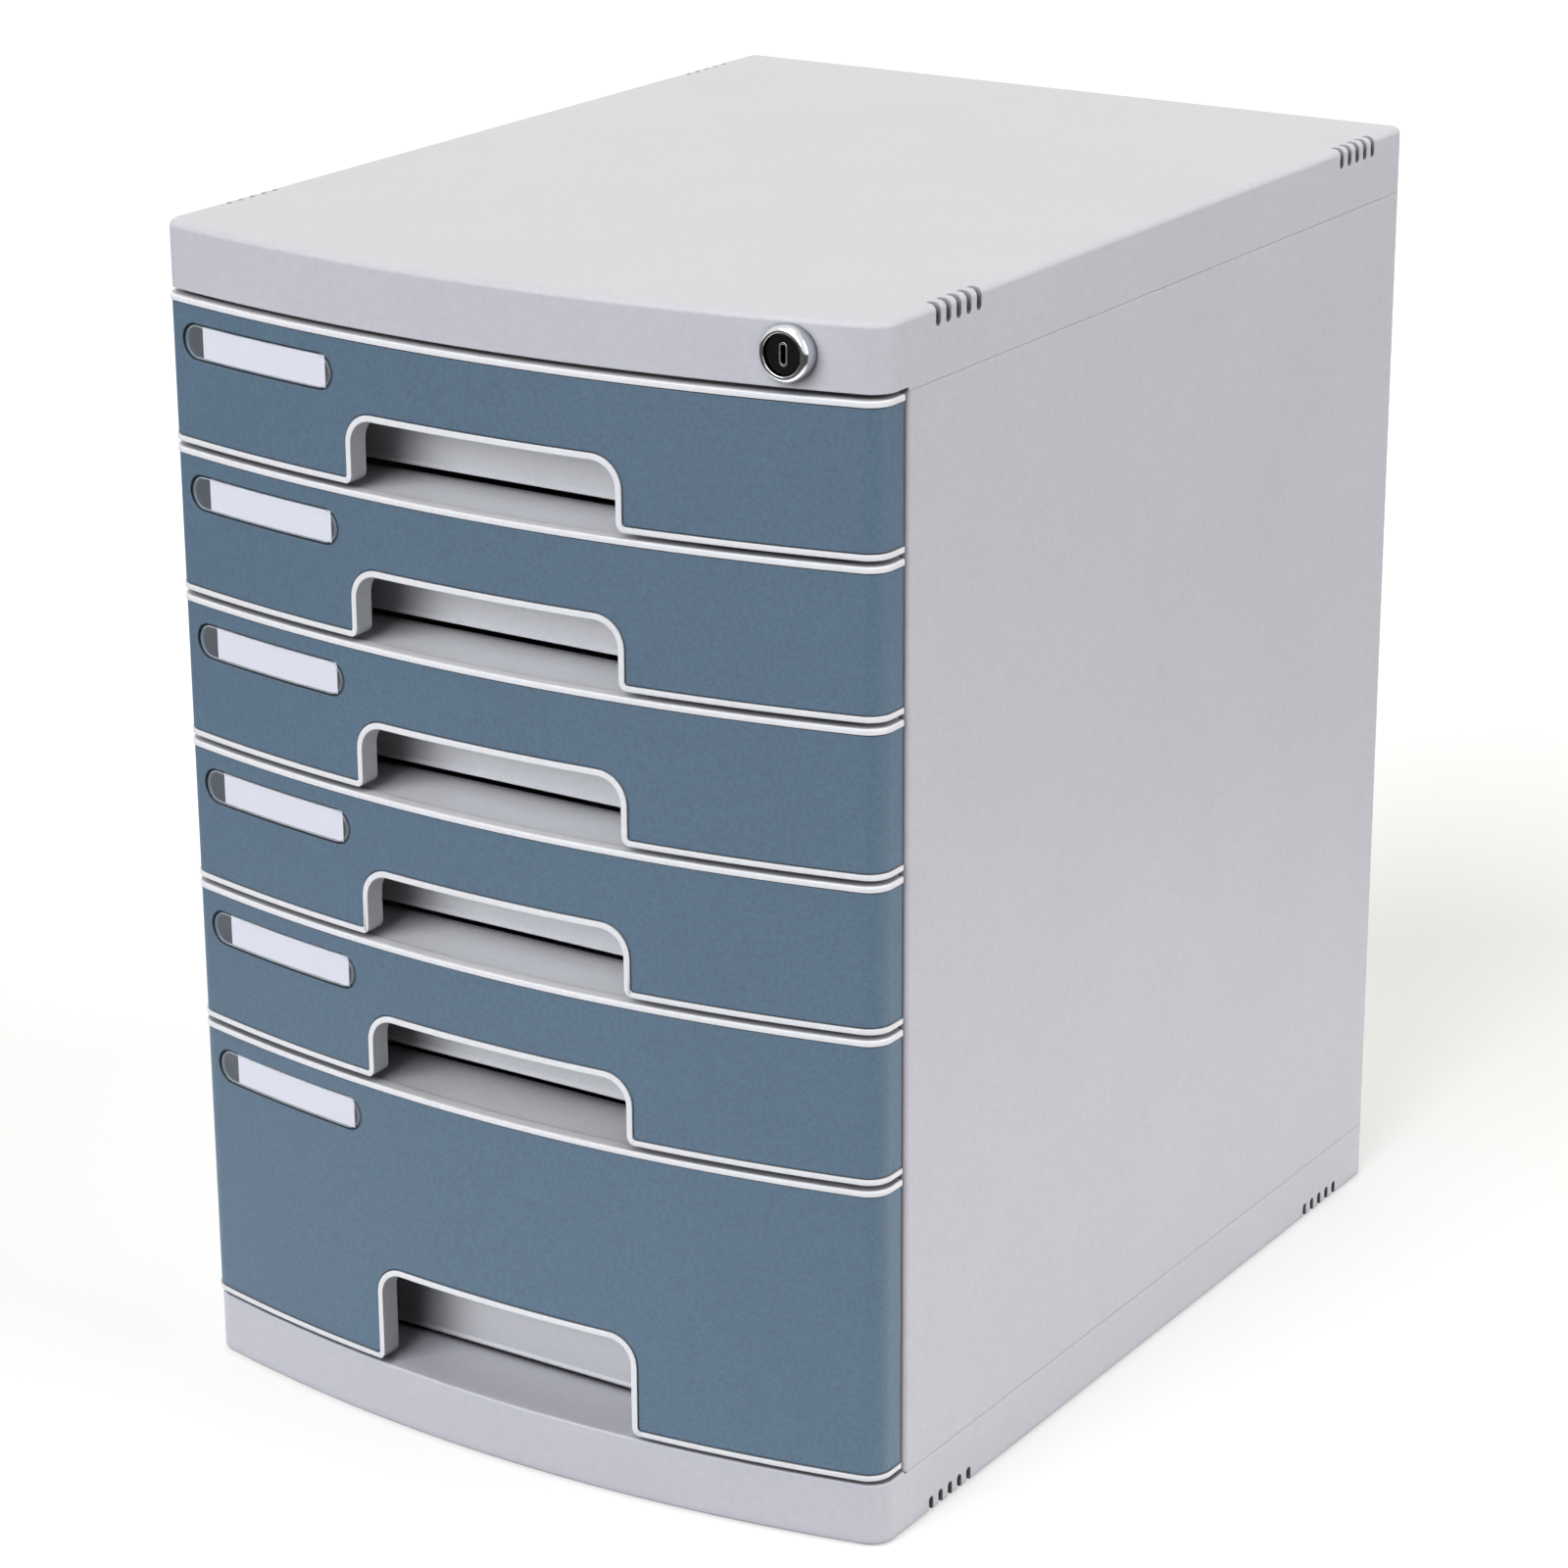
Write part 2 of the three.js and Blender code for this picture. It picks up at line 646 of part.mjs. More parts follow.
function makeFront(bay) {
  const z = [drawerGap / 2, bay.pitch - drawerGap / 2];
  const recessZ = [z[0] + lipThickness, z[1] - lipThickness];
  const ledgeZ = [z[1] - ledgeDrop - lipThickness, z[1] - ledgeDrop];
  const lips = frontBand(0, frontSkinBack, frontEndY, z);
  const innerSkin = frontBand(recessFloor, frontSkinBack, wingBackY, z);
  const recess = frontBand(-overrun, recessFloor, frontEndY + overrun, recessZ).subtract(
    prismBack(gripOutline(bay.grip, lipThickness), frontCutY),
  );
  const gripLip = frontBand(0, lipDepth, frontEndY, z).intersect(
    prismBack(gripOutline(bay.grip, lipThickness), frontCutY),
  );
  const lowLip = frontBand(0, lipDepth, frontEndY, [z[0], z[0] + lipThickness]);
  const ledge = union([
    frontPlan(recessFloor, wingBackY, ledgeZ),
    block([-trayHalfWidth, trayHalfWidth], [frontEndY - weld, trayFrontY + trayWall], ledgeZ),
  ]);
  const wings = blockPair(
    [trayHalfWidth - trayWall, halfWidth - frontSideInset - recessFloor],
    [wingBackY - wingThickness, wingBackY],
    z,
  );
  const ribZ = [z[0] + lipThickness, ledgeZ[1]];
  const ribY = [frontCrownY, trayFrontY + weld];
  const ribs = Array.from({ length: frontRibCount }, (_, i) => {
    const x = gripHalfWidth + frontRibSetOut + i * frontRibPitch;
    return blockPair([x - ribThickness / 2, x + ribThickness / 2], ribY, ribZ);
  });
  const ribsInside = union(ribs).intersect(frontPlan(frontSkinBack - weld, trayFrontY + weld, z));
  const opening = prismBack(gripOutline(bay.grip, 0), frontCutY);
  return lips
    .add(innerSkin)
    .subtract(recess)
    .add(gripLip)
    .add(lowLip)
    .subtract(opening)
    .add(union([ledge, wings, ribsInside]));
}

// The tray's cross-section, drafted and round at the floor, set in by a wall.
function trayOutline(bay, inset, low, high) {
  const rim = trayHalfWidth - inset;
  const foot = trayHalfWidth - trayDraft - inset;
  const radius = trayFloorRadius - inset / 2;
  const quarter = Math.PI / 2;
  return [
    ...arc(radius - foot, low + radius, radius, 2 * quarter, 3 * quarter, cornerSteps),
    ...arc(foot - radius, low + radius, radius, 3 * quarter, 4 * quarter, cornerSteps),
    point(rim, high),
    point(-rim, high),
  ];
}

// A plan with square corners at the front and round ones at the back.
function trayPlan(side, front, back, radius, z) {
  return prismUp(
    [
      point(-side, front),
      point(side, front),
      ...arc(side - radius, back - radius, radius, 0, Math.PI / 2, cornerSteps),
      ...arc(radius - side, back - radius, radius, Math.PI / 2, Math.PI, cornerSteps),
    ],
    z,
  );
}

function makeTray(bay) {
  const rimZ = bay.pitch - trayRimDrop;
  const frontTop = bay.pitch - drawerGap / 2 - ledgeDrop;
  const depth = [trayFrontY, trayBackY];
  const outer = prismBack(trayOutline(bay, 0, trayFloorRise, rimZ), depth).intersect(
    trayPlan(trayHalfWidth, trayFrontY, trayBackY, trayRearRadius, [0, rimZ]),
  );
  const hollowZ = [trayFloorRise + trayFloor, rimZ + overrun];
  const hollowPlan = trayPlan(
    trayHalfWidth - trayWall,
    trayFrontY + trayWall,
    trayBackY - trayWall,
    trayRearRadius - trayWall,
    [0, bay.pitch],
  );
  const inner = prismBack(trayOutline(bay, trayWall, ...hollowZ), depth).intersect(hollowPlan);
  const frontWall = block(
    [-trayHalfWidth + trayDraft, trayHalfWidth - trayDraft],
    [trayFrontY, trayFrontY + trayWall],
    [rimZ - weld, frontTop - weld],
  );
  const runners = blockPair(
    [trayHalfWidth - trayWall / 2, runnerOuterX],
    [railFrontY, trayBackY - trayRearRadius],
    [rimZ - runnerThickness, rimZ],
  );
  const stopLugs = blockPair(
    [trayHalfWidth - trayWall / 2, trayHalfWidth + stopLugReach],
    [stopLugY, stopLugY + stopLugLength],
    [rimZ - stopLugDrop - stopLugHeight, rimZ - stopLugDrop],
  );
  const lockLugs = blockPair(
    [trayHalfWidth - trayDraft - trayWall / 2, runnerOuterX],
    [lockLugY, lockLugY + lockLugLength],
    [lockLugRise, lockLugRise + lockLugHeight],
  );
  return union([outer.subtract(inner), frontWall, runners, lockLugs, stopLugs, makeFront(bay)]);
}

// The label window's middle height in a bay.
function windowZ(bay) {
  return bay.pitch - drawerGap / 2 - lipThickness - windowBelowFascia;
}

function makeFascia(bay) {
  const margin = drawerGap / 2 + lipThickness + fasciaPlay;
  const z = [margin, bay.pitch - margin];
  const pocket = frontBand(0, fasciaDrop + pocketDepth, frontEndY, z).intersect(
    prismBack(pill(windowCentreX, windowZ(bay), windowWidth, windowHeight), frontCutY),
  );
  return frontBand(fasciaDrop, fasciaBack, frontEndY, z)
    .subtract(prismBack(gripOutline(bay.grip, lipThickness + fasciaPlay), frontCutY))
    .subtract(pocket);
}

function makeWindow(bay) {
  const width = windowWidth - 2 * windowPlay;
  const outline = pill(windowCentreX, windowZ(bay), width, windowHeight - 2 * windowPlay);
  const band = frontBand(fasciaDrop, fasciaDrop + windowThickness, frontEndY, [0, bay.pitch]);
  return band.intersect(prismBack(outline, frontCutY));
}

function makeCard(bay) {
  const half = windowHeight / 2 - cardMargin;
  const outline = rectangle(cardX, [windowZ(bay) - half, windowZ(bay) + half]);
  const back = fasciaDrop + pocketDepth - windowPlay;
  const band = frontBand(back - cardThickness, back, frontEndY, [0, bay.pitch]);
  return band.intersect(prismBack(outline, frontCutY));
}

// Lock: everything turns about one axis along Y

const bezelFrontY = wallY - bezelProud;
const barrelBackY = wallY + barrelLength;
const camY = [barrelBackY + camPlay, barrelBackY + camPlay + camThickness];
const liftAngle = Math.PI / 4; // the pin rests this far below the axis and locks this far above it
const pinX = lockX + pinReach * Math.cos(liftAngle);
const pinRestZ = lockZ - pinReach * Math.sin(liftAngle);
const barLift = 2 * pinReach * Math.sin(liftAngle);

function makeLockHousing() {
  const faceFloor = bezelFrontY + plugFaceDrop + plugFaceThickness + plugPlay;
  const profile = [
    point(plugRadius + plugPlay, faceFloor),
    point(plugFaceRadius + plugPlay, faceFloor),
    point(plugFaceRadius + plugPlay, bezelFrontY),
    point(bezelRadius - bezelChamfer, bezelFrontY),
    point(bezelRadius, bezelFrontY + bezelChamfer),
    point(bezelRadius, wallY + overrun),
    point(barrelRadius, wallY + overrun),
    point(barrelRadius, barrelBackY),
    point(plugRadius + plugPlay, barrelBackY),
  ];
  const geometry = new THREE.LatheGeometry([...profile, profile[0].clone()], roundSteps);
  geometry.translate(lockX, 0, lockZ);
  const turned = solid(geometry);
  const behindWall = shellPlan(-seatGap, [coverSideZ, topZ + overrun]).subtract(
    barAlongY(barrelRadius, [frontCrownY - overrun, barrelBackY + overrun], lockX, lockZ),
  );
  return turned.subtract(behindWall);
}

function makeLockNut() {
  const corner = nutAcrossFlats / Math.sqrt(3);
  const geometry = new THREE.CylinderGeometry(corner, corner, nutThickness, 6);
  geometry.rotateY(Math.PI / 6);
  geometry.translate(lockX, bossBackY + seatGap + nutThickness / 2, lockZ);
  const boreY = [bossBackY, bossBackY + nutThickness + overrun];
  const bore = barAlongY(barrelRadius + nutPlay, boreY, lockX, lockZ);
  return solid(geometry).subtract(bore);
}

function makeLockPlug() {
  const faceY = bezelFrontY + plugFaceDrop;
  const slotX = [lockX - keySlotWidth / 2, lockX + keySlotWidth / 2];
  const slotZ = [lockZ - keySlotHeight / 2, lockZ + keySlotHeight / 2];
  const half = tangSize / 2;
  return union([
    barAlongY(plugFaceRadius, [faceY, faceY + plugFaceThickness], lockX, lockZ),
    barAlongY(plugRadius, [faceY + plugFaceThickness - weld, barrelBackY], lockX, lockZ),
    block([lockX - half, lockX + half], [barrelBackY - weld, camY[1]], [lockZ - half, lockZ + half]),
  ])
    .subtract(block(slotX, [faceY - overrun, faceY + keySlotDepth], slotZ))
    .subtract(barAlongY(screwRadius + camPlay, [camY[1] - screwLength, camY[1] + overrun], lockX, lockZ));
}

function makeLockCam() {
  const half = tangSize / 2 + camPlay;
  const arm = new THREE.BoxGeometry(pinReach, camThickness, 2 * camTipRadius);
  arm.translate(pinReach / 2, (camY[0] + camY[1]) / 2, 0);
  arm.rotateY(liftAngle);
  arm.translate(lockX, 0, lockZ);
  const pinEndY = barFrontY + barHeadThickness + camPlay;
  const holeY = [camY[0] - overrun, camY[1] + overrun];
  const hole = block([lockX - half, lockX + half], holeY, [lockZ - half, lockZ + half]);
  return union([
    barAlongY(camHubRadius, camY, lockX, lockZ),
    barAlongY(camTipRadius, camY, pinX, pinRestZ),
    solid(arm),
    barAlongY(pinRadius, [camY[0] + weld, pinEndY], pinX, pinRestZ),
  ]).subtract(hole);
}

function makeCamScrew() {
  const headY = camY[1] + camPlay;
  return union([
    barAlongY(screwHeadRadius, [headY, headY + screwHeadThickness], lockX, lockZ),
    barAlongY(screwRadius, [camY[1] - screwLength + camPlay, headY + weld], lockX, lockZ),
  ]);
}

// Lock bar and catches, drawn down at rest: locking lifts each catch to stand before its drawer's lug

function catchZ(bay) {
  const lockedLow = bay.z + lockLugRise + (lockLugHeight - catchHeight) / 2;
  return [lockedLow - barLift, lockedLow - barLift + catchHeight];
}

function makeLockBar() {
  const slotHalf = pinRadius + barSlotPlay;
  const headHalf = slotHalf + barSlotWall;
  const headZ = [pinRestZ - headHalf, pinRestZ + headHalf];
  const headY = [barFrontY, barFrontY + barHeadThickness];
  const lowest = Math.min(...bays.map((bay) => catchZ(bay)[0]));
  const strip = block(barX, [barFrontY, barBackY], [lowest - barTail, headZ[1]]);
  const head = block([lockX + barHeadInset, barX[1]], headY, headZ);
  const slot = block(
    [pinX - slotHalf, lockX + pinReach + slotHalf],
    [headY[0] - overrun, headY[1] + overrun],
    [pinRestZ - slotHalf, pinRestZ + slotHalf],
  );
  const notches = bays.map((bay) => {
    const z = catchZ(bay);
    const notchY = [barFrontY - overrun, barFrontY + catchThickness + seatGap];
    return block([barX[0] - overrun, barX[1] + overrun], notchY, [z[0] - seatGap, z[1] + seatGap]);
  });
  return union([strip, head]).subtract(union([slot, ...notches]));
}

// A catch sits in a notch across the bar's front edge.
function makeLockCatch(bay) {
  return block([barX[0] - catchReach, barX[1]], [barFrontY, barFrontY + catchThickness], catchZ(bay));
}

// The scene graph

function mesh(name, piece, finish) {
  const made = piece.getMesh();
  const geometry = new THREE.BufferGeometry();
  geometry.setAttribute("position", new THREE.BufferAttribute(made.vertProperties, made.numProp));
  geometry.setIndex(new THREE.BufferAttribute(made.triVerts, 1));
  geometry.computeVertexNormals();
  const result = new THREE.Mesh(geometry, new THREE.MeshStandardMaterial(finish));
  result.name = name;
  return result;
}

const cabinet = new THREE.Group();
cabinet.name = "desktop_file_drawer";
cabinet.add(mesh("top_cover", makeCover(), casingGrey));
cabinet.add(mesh("base", makeBase(), casingGrey));
cabinet.add(mesh("right_side_panel", makePanel(true), casingGrey));
const leftPanel = mesh("left_side_panel", makePanel(false), casingGrey);
leftPanel.scale.x = -1;
cabinet.add(leftPanel);
cabinet.add(mesh("back_panel", makeBackPanel(), casingGrey));
for (const foot of footPlaces) {
  cabinet.add(mesh(foot.name, makeFoot(foot), blackRubber));
}

const drawerShapes = new Map();
for (const bay of bays) {
  if (!drawerShapes.has(bay.pitch)) {
    drawerShapes.set(bay.pitch, {
      tray: makeTray(bay),
      fascia: makeFascia(bay),
      label_card: makeCard(bay),
      label_window: makeWindow(bay),
    });
  }
  const shapes = drawerShapes.get(bay.pitch);
  const drawer = new THREE.Group();
  drawer.position.z = bay.z;
  drawer.add(mesh(`tray_${bay.number}`, shapes.tray, trayGrey));
  drawer.add(mesh(`fascia_${bay.number}`, shapes.fascia, slateBlue));
  drawer.add(mesh(`label_card_${bay.number}`, shapes.label_card, cardWhite));
  drawer.add(mesh(`label_window_${bay.number}`, shapes.label_window, clearPlastic));
  cabinet.add(drawer);
}

cabinet.add(mesh("lock_housing", makeLockHousing(), chrome));
cabinet.add(mesh("lock_nut", makeLockNut(), zincSteel));
cabinet.add(mesh("lock_plug", makeLockPlug(), blackPlastic));
cabinet.add(mesh("lock_cam", makeLockCam(), zincSteel));
cabinet.add(mesh("cam_screw", makeCamScrew(), zincSteel));
cabinet.add(mesh("lock_bar", makeLockBar(), zincSteel));
for (const bay of bays) {
  cabinet.add(mesh(`lock_catch_${bay.number}`, makeLockCatch(bay), zincSteel));
}

export default cabinet;
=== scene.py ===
"""Desktop file drawer cabinet: its finished pieces, studio and camera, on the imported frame.

Sizes are in millimetres, in the frame's own axes: +Z up, the drawers face -Y, and the origin is the
middle of the footprint. A mesh is turned to metres when its object is made.
"""

import logging
import math
from collections.abc import Callable, Iterable, Sequence
from dataclasses import dataclass, replace
from enum import Enum

import bmesh
import bpy
from mathutils import Matrix, Vector


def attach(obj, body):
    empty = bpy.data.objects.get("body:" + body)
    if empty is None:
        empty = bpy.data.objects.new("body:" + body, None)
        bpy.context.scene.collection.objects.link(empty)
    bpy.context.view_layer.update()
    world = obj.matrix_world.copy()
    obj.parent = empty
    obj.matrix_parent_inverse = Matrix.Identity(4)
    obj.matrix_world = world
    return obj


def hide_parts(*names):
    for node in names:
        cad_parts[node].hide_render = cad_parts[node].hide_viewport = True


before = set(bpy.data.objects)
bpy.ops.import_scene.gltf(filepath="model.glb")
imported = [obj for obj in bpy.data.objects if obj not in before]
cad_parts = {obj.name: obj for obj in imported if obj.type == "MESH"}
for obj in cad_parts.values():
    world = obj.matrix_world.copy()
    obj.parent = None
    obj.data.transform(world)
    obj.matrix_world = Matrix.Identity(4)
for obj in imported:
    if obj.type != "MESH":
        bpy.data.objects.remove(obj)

LOG = logging.getLogger("file_drawer")
METRE = 1000.0  # millimetres
QUARTER = math.pi / 2
WHITE = (1.0, 1.0, 1.0, 1.0)

Point2 = tuple[float, float]
Point3 = tuple[float, float, float]
Span = tuple[float, float]
Tree = bpy.types.NodeTree
Node = bpy.types.Node
Socket = bpy.types.NodeSocket


# Forms


class Axis(Enum):
    """The direction in which an outline is run."""

    UP = "up"  # outline of x and y
    BACK = "back"  # outline of x and z
    ACROSS = "across"  # outline of y and z

    def place(self, u: float, v: float, w: float) -> Point3:
        """Gives the point at outline place u, v and run w."""
        return {Axis.UP: (u, v, w), Axis.BACK: (u, w, v), Axis.ACROSS: (w, u, v)}[self]


class Operation(Enum):
    """How two solids are combined."""

    JOIN = "UNION"
    CUT = "DIFFERENCE"
    MEET = "INTERSECT"


def arc(centre: Point2, radius: float, start: float, end: float, steps: int) -> list[Point2]:
    """Points along an arc.

    Args:
        centre: the arc's middle.
        radius: its radius.
        start: the first angle, in radians.
        end: the last angle, in radians.
        steps: the number of chords.

    Returns:
        The points from start to end, both included.
    """
    angles = [start + (end - start) * i / steps for i in range(steps + 1)]
    return [(centre[0] + radius * math.cos(a), centre[1] + radius * math.sin(a)) for a in angles]


def rectangle(u: Span, v: Span) -> list[Point2]:
    """Gives a rectangle's corners."""
    return [(u[0], v[0]), (u[1], v[0]), (u[1], v[1]), (u[0], v[1])]


def shoulders(side: float, top: float, radius: float, steps: int) -> list[Point2]:
    """The two rounded corners at the far side of an outline.

    Args:
        side: half the outline's width.
        top: its far edge.
        radius: the corners' radius.
        steps: the number of chords in each corner.

    Returns:
        The right corner's points, then the left one's.
    """
    right = arc((side - radius, top - radius), radius, 0, QUARTER, steps)
    return right + arc((radius - side, top - radius), radius, QUARTER, 2 * QUARTER, steps)


def pill(centre: Point2, width: float, height: float, steps: int) -> list[Point2]:
    """Outline with half-round ends.

    Args:
        centre: the middle of the pill.
        width: its length over the ends.
        height: its height.
        steps: the number of chords in each end.

    Returns:
        The outline's points.
    """
    radius = height / 2
    run = width / 2 - radius
    right = arc((centre[0] + run, centre[1]), radius, -QUARTER, QUARTER, steps)
    return right + arc((centre[0] - run, centre[1]), radius, QUARTER, 3 * QUARTER, steps)


def rounding(radius: float, steps: int) -> list[Point2]:
    """Gives a rounded edge's insets from the side and rises from the face, from the face out."""
    angles = [QUARTER * i / steps for i in range(steps + 1)]
    return [(radius * (1 - math.sin(a)), radius * (1 - math.cos(a))) for a in angles]


def rounded_levels(z: Span, low_radius: float, high_radius: float, steps: int) -> list[Point2]:
    """Levels of a solid with its lower and upper edges rounded.

    Args:
        z: the lower and the upper plane.
        low_radius: the lower edge's radius.
        high_radius: the upper edge's radius.
        steps: the number of chords in each edge.

    Returns:
        Each level's inset and height, from the lowest up.
    """
    low = [(inset, z[0] + rise) for inset, rise in rounding(low_radius, steps)]
    return low + [(inset, z[1] - rise) for inset, rise in reversed(rounding(high_radius, steps))]


def placed(name: str, data: bpy.types.ID) -> bpy.types.Object:
    """Adds an object to the scene.

    Args:
        name: the object's name.
        data: its mesh, lamp or camera.

    Returns:
        The object.
    """
    made = bpy.data.objects.new(name, data)
    bpy.context.scene.collection.objects.link(made)
    return made


def settled_mesh(piece: bpy.types.Object) -> bpy.types.Mesh:
    """Takes the mesh that an object's modifiers leave, as plain data, and removes the object.

    Args:
        piece: the object.

    Returns:
        The mesh.
    """
    bpy.context.view_layer.update()
    made = bpy.data.meshes.new_from_object(piece.evaluated_get(bpy.context.evaluated_depsgraph_get()))
    bpy.data.objects.remove(piece)
    return made


class Form:
    """A closed solid in millimetres that can be joined, cut and met with others."""

    def __init__(self, mesh: bpy.types.Mesh) -> None:
        """Holds the solid's mesh."""
        self.mesh = mesh

    @classmethod
    def of_work(cls, work: bmesh.types.BMesh) -> "Form":
        """Closes a working mesh.

        Args:
            work: the mesh, whose faces are turned outwards.

        Returns:
            Its solid.
        """
        bmesh.ops.recalc_face_normals(work, faces=work.faces)
        mesh = bpy.data.meshes.new("form")
        work.to_mesh(mesh)
        work.free()
        return cls(mesh)

    @classmethod
    def skinned(cls, rings: Sequence[Sequence[Point3]], closed: bool = False) -> "Form":
        """Skins rings of points that follow each other.

        Args:
            rings: loops with the same number of points.
            closed: True where the last ring meets the first, and no cap is wanted.

        Returns:
            The closed solid.
        """
        work = bmesh.new()
        loops = [[work.verts.new(p) for p in ring] for ring in rings]
        pairs = list(zip(loops, loops[1:]))
        if closed:
            pairs.append((loops[-1], loops[0]))
        for low, high in pairs:
            for i in range(len(low)):
                j = (i + 1) % len(low)
                work.faces.new((low[i], low[j], high[j], high[i]))
        if not closed:
            work.faces.new(loops[0][::-1])
            work.faces.new(loops[-1])
        return cls.of_work(work)

    @classmethod
    def stacked(cls, levels: Sequence[Point2], outline: Callable[[float], Sequence[Point2]]) -> "Form":
        """Skins an upright solid whose outline is set in from level to level.

        Args:
            levels: each level's inset and height.
            outline: gives the outline at an inset.

        Returns:
            The solid.
        """
        return cls.skinned([[(x, y, z) for x, y in outline(inset)] for inset, z in levels])

    @classmethod
    def prism(cls, outline: Sequence[Point2], run: Span, axis: Axis) -> "Form":
        """Runs an outline between two planes along an axis."""
        return cls.skinned([[axis.place(u, v, w) for u, v in outline] for w in run])

    @classmethod
    def block(cls, x: Span, y: Span, z: Span) -> "Form":
        """Gives the block between two x, two y and two z planes."""
        return cls.prism(rectangle(x, y), z, Axis.UP)

    @classmethod
    def pair(cls, x: Span, y: Span, z: Span) -> "Form":
        """Gives the same block at both sides of the cabinet."""
        return cls.block(x, y, z).join(cls.block((-x[1], -x[0]), y, z))

    @classmethod
    def turned(cls, profile: Sequence[Point2], centre: Point2, steps: int, closed: bool = False) -> "Form":
        """Turns a profile about an axis along Y.

        Args:
            profile: radius and y of each ring.
            centre: the axis's x and z.
            steps: the number of chords round the axis.
            closed: True for a profile that closes on itself, round a bore.

        Returns:
            The turned solid.
        """
        circles = [(arc(centre, radius, 0, math.tau, steps)[:-1], y) for radius, y in profile]
        return cls.skinned([[(x, y, z) for x, z in circle] for circle, y in circles], closed)

    @classmethod
    def joined(cls, forms: Sequence["Form"]) -> "Form":
        """Adds up several solids.

        Args:
            forms: the solids.

        Returns:
            Their sum.
        """
        total = forms[0]
        for other in forms[1:]:
            total = total.join(other)
        return total

    def combine(self, other: "Form", operation: Operation) -> "Form":
        """Combines this solid with another.

        Args:
            other: the second solid.
            operation: how they are combined.

        Returns:
            A new solid.
        """
        host, partner = placed("host", self.mesh), placed("partner", other.mesh)
        modifier = host.modifiers.new("combine", "BOOLEAN")
        modifier.operation = operation.value
        modifier.solver = "MANIFOLD"
        modifier.object = partner
        made = settled_mesh(host)
        bpy.data.objects.remove(partner)
        return Form(made)

    def join(self, other: "Form") -> "Form":
        """Gives this solid with another added."""
        return self.combine(other, Operation.JOIN)

    def cut(self, other: "Form") -> "Form":
        """Gives this solid with another taken away."""
        return self.combine(other, Operation.CUT)

    def meet(self, other: "Form") -> "Form":
        """Gives what this solid shares with another."""
        return self.combine(other, Operation.MEET)

    def raised(self, height: float) -> "Form":
        """Copies the solid to another height.

        Args:
            height: how far the copy is raised.

        Returns:
            The copy.
        """
        mesh = self.mesh.copy()
        mesh.transform(Matrix.Translation((0.0, 0.0, height)))
        return Form(mesh)

    def mirrored(self) -> "Form":
        """Mirrors the solid across the cabinet's middle.

        Returns:
            The mirror image.
        """
        work = bmesh.new()
        work.from_mesh(self.mesh)
        bmesh.ops.scale(work, vec=(-1, 1, 1), verts=work.verts)
        return Form.of_work(work)


# Nodes


def add_node(
    tree: Tree,
    kind: str,
    settings: dict[str | int, object] | None = None,
    links: dict[str | int, Socket] | None = None,
) -> Node:
    """Adds one node with its settings and what feeds it.

    Args:
        tree: the node tree.
        kind: the node's type.
        settings: values by the name of an attribute, or by the name or number of an input socket.
        links: output sockets by the name or number of the input that each feeds.

    Returns:
        The node.
    """
    node = tree.nodes.new(kind)
    for key, value in (settings or {}).items():
        if isinstance(key, int) or key in node.inputs:
            node.inputs[key].default_value = value
        else:
            setattr(node, key, value)
    for key, source in (links or {}).items():
        tree.links.new(source, node.inputs[key])
    return node


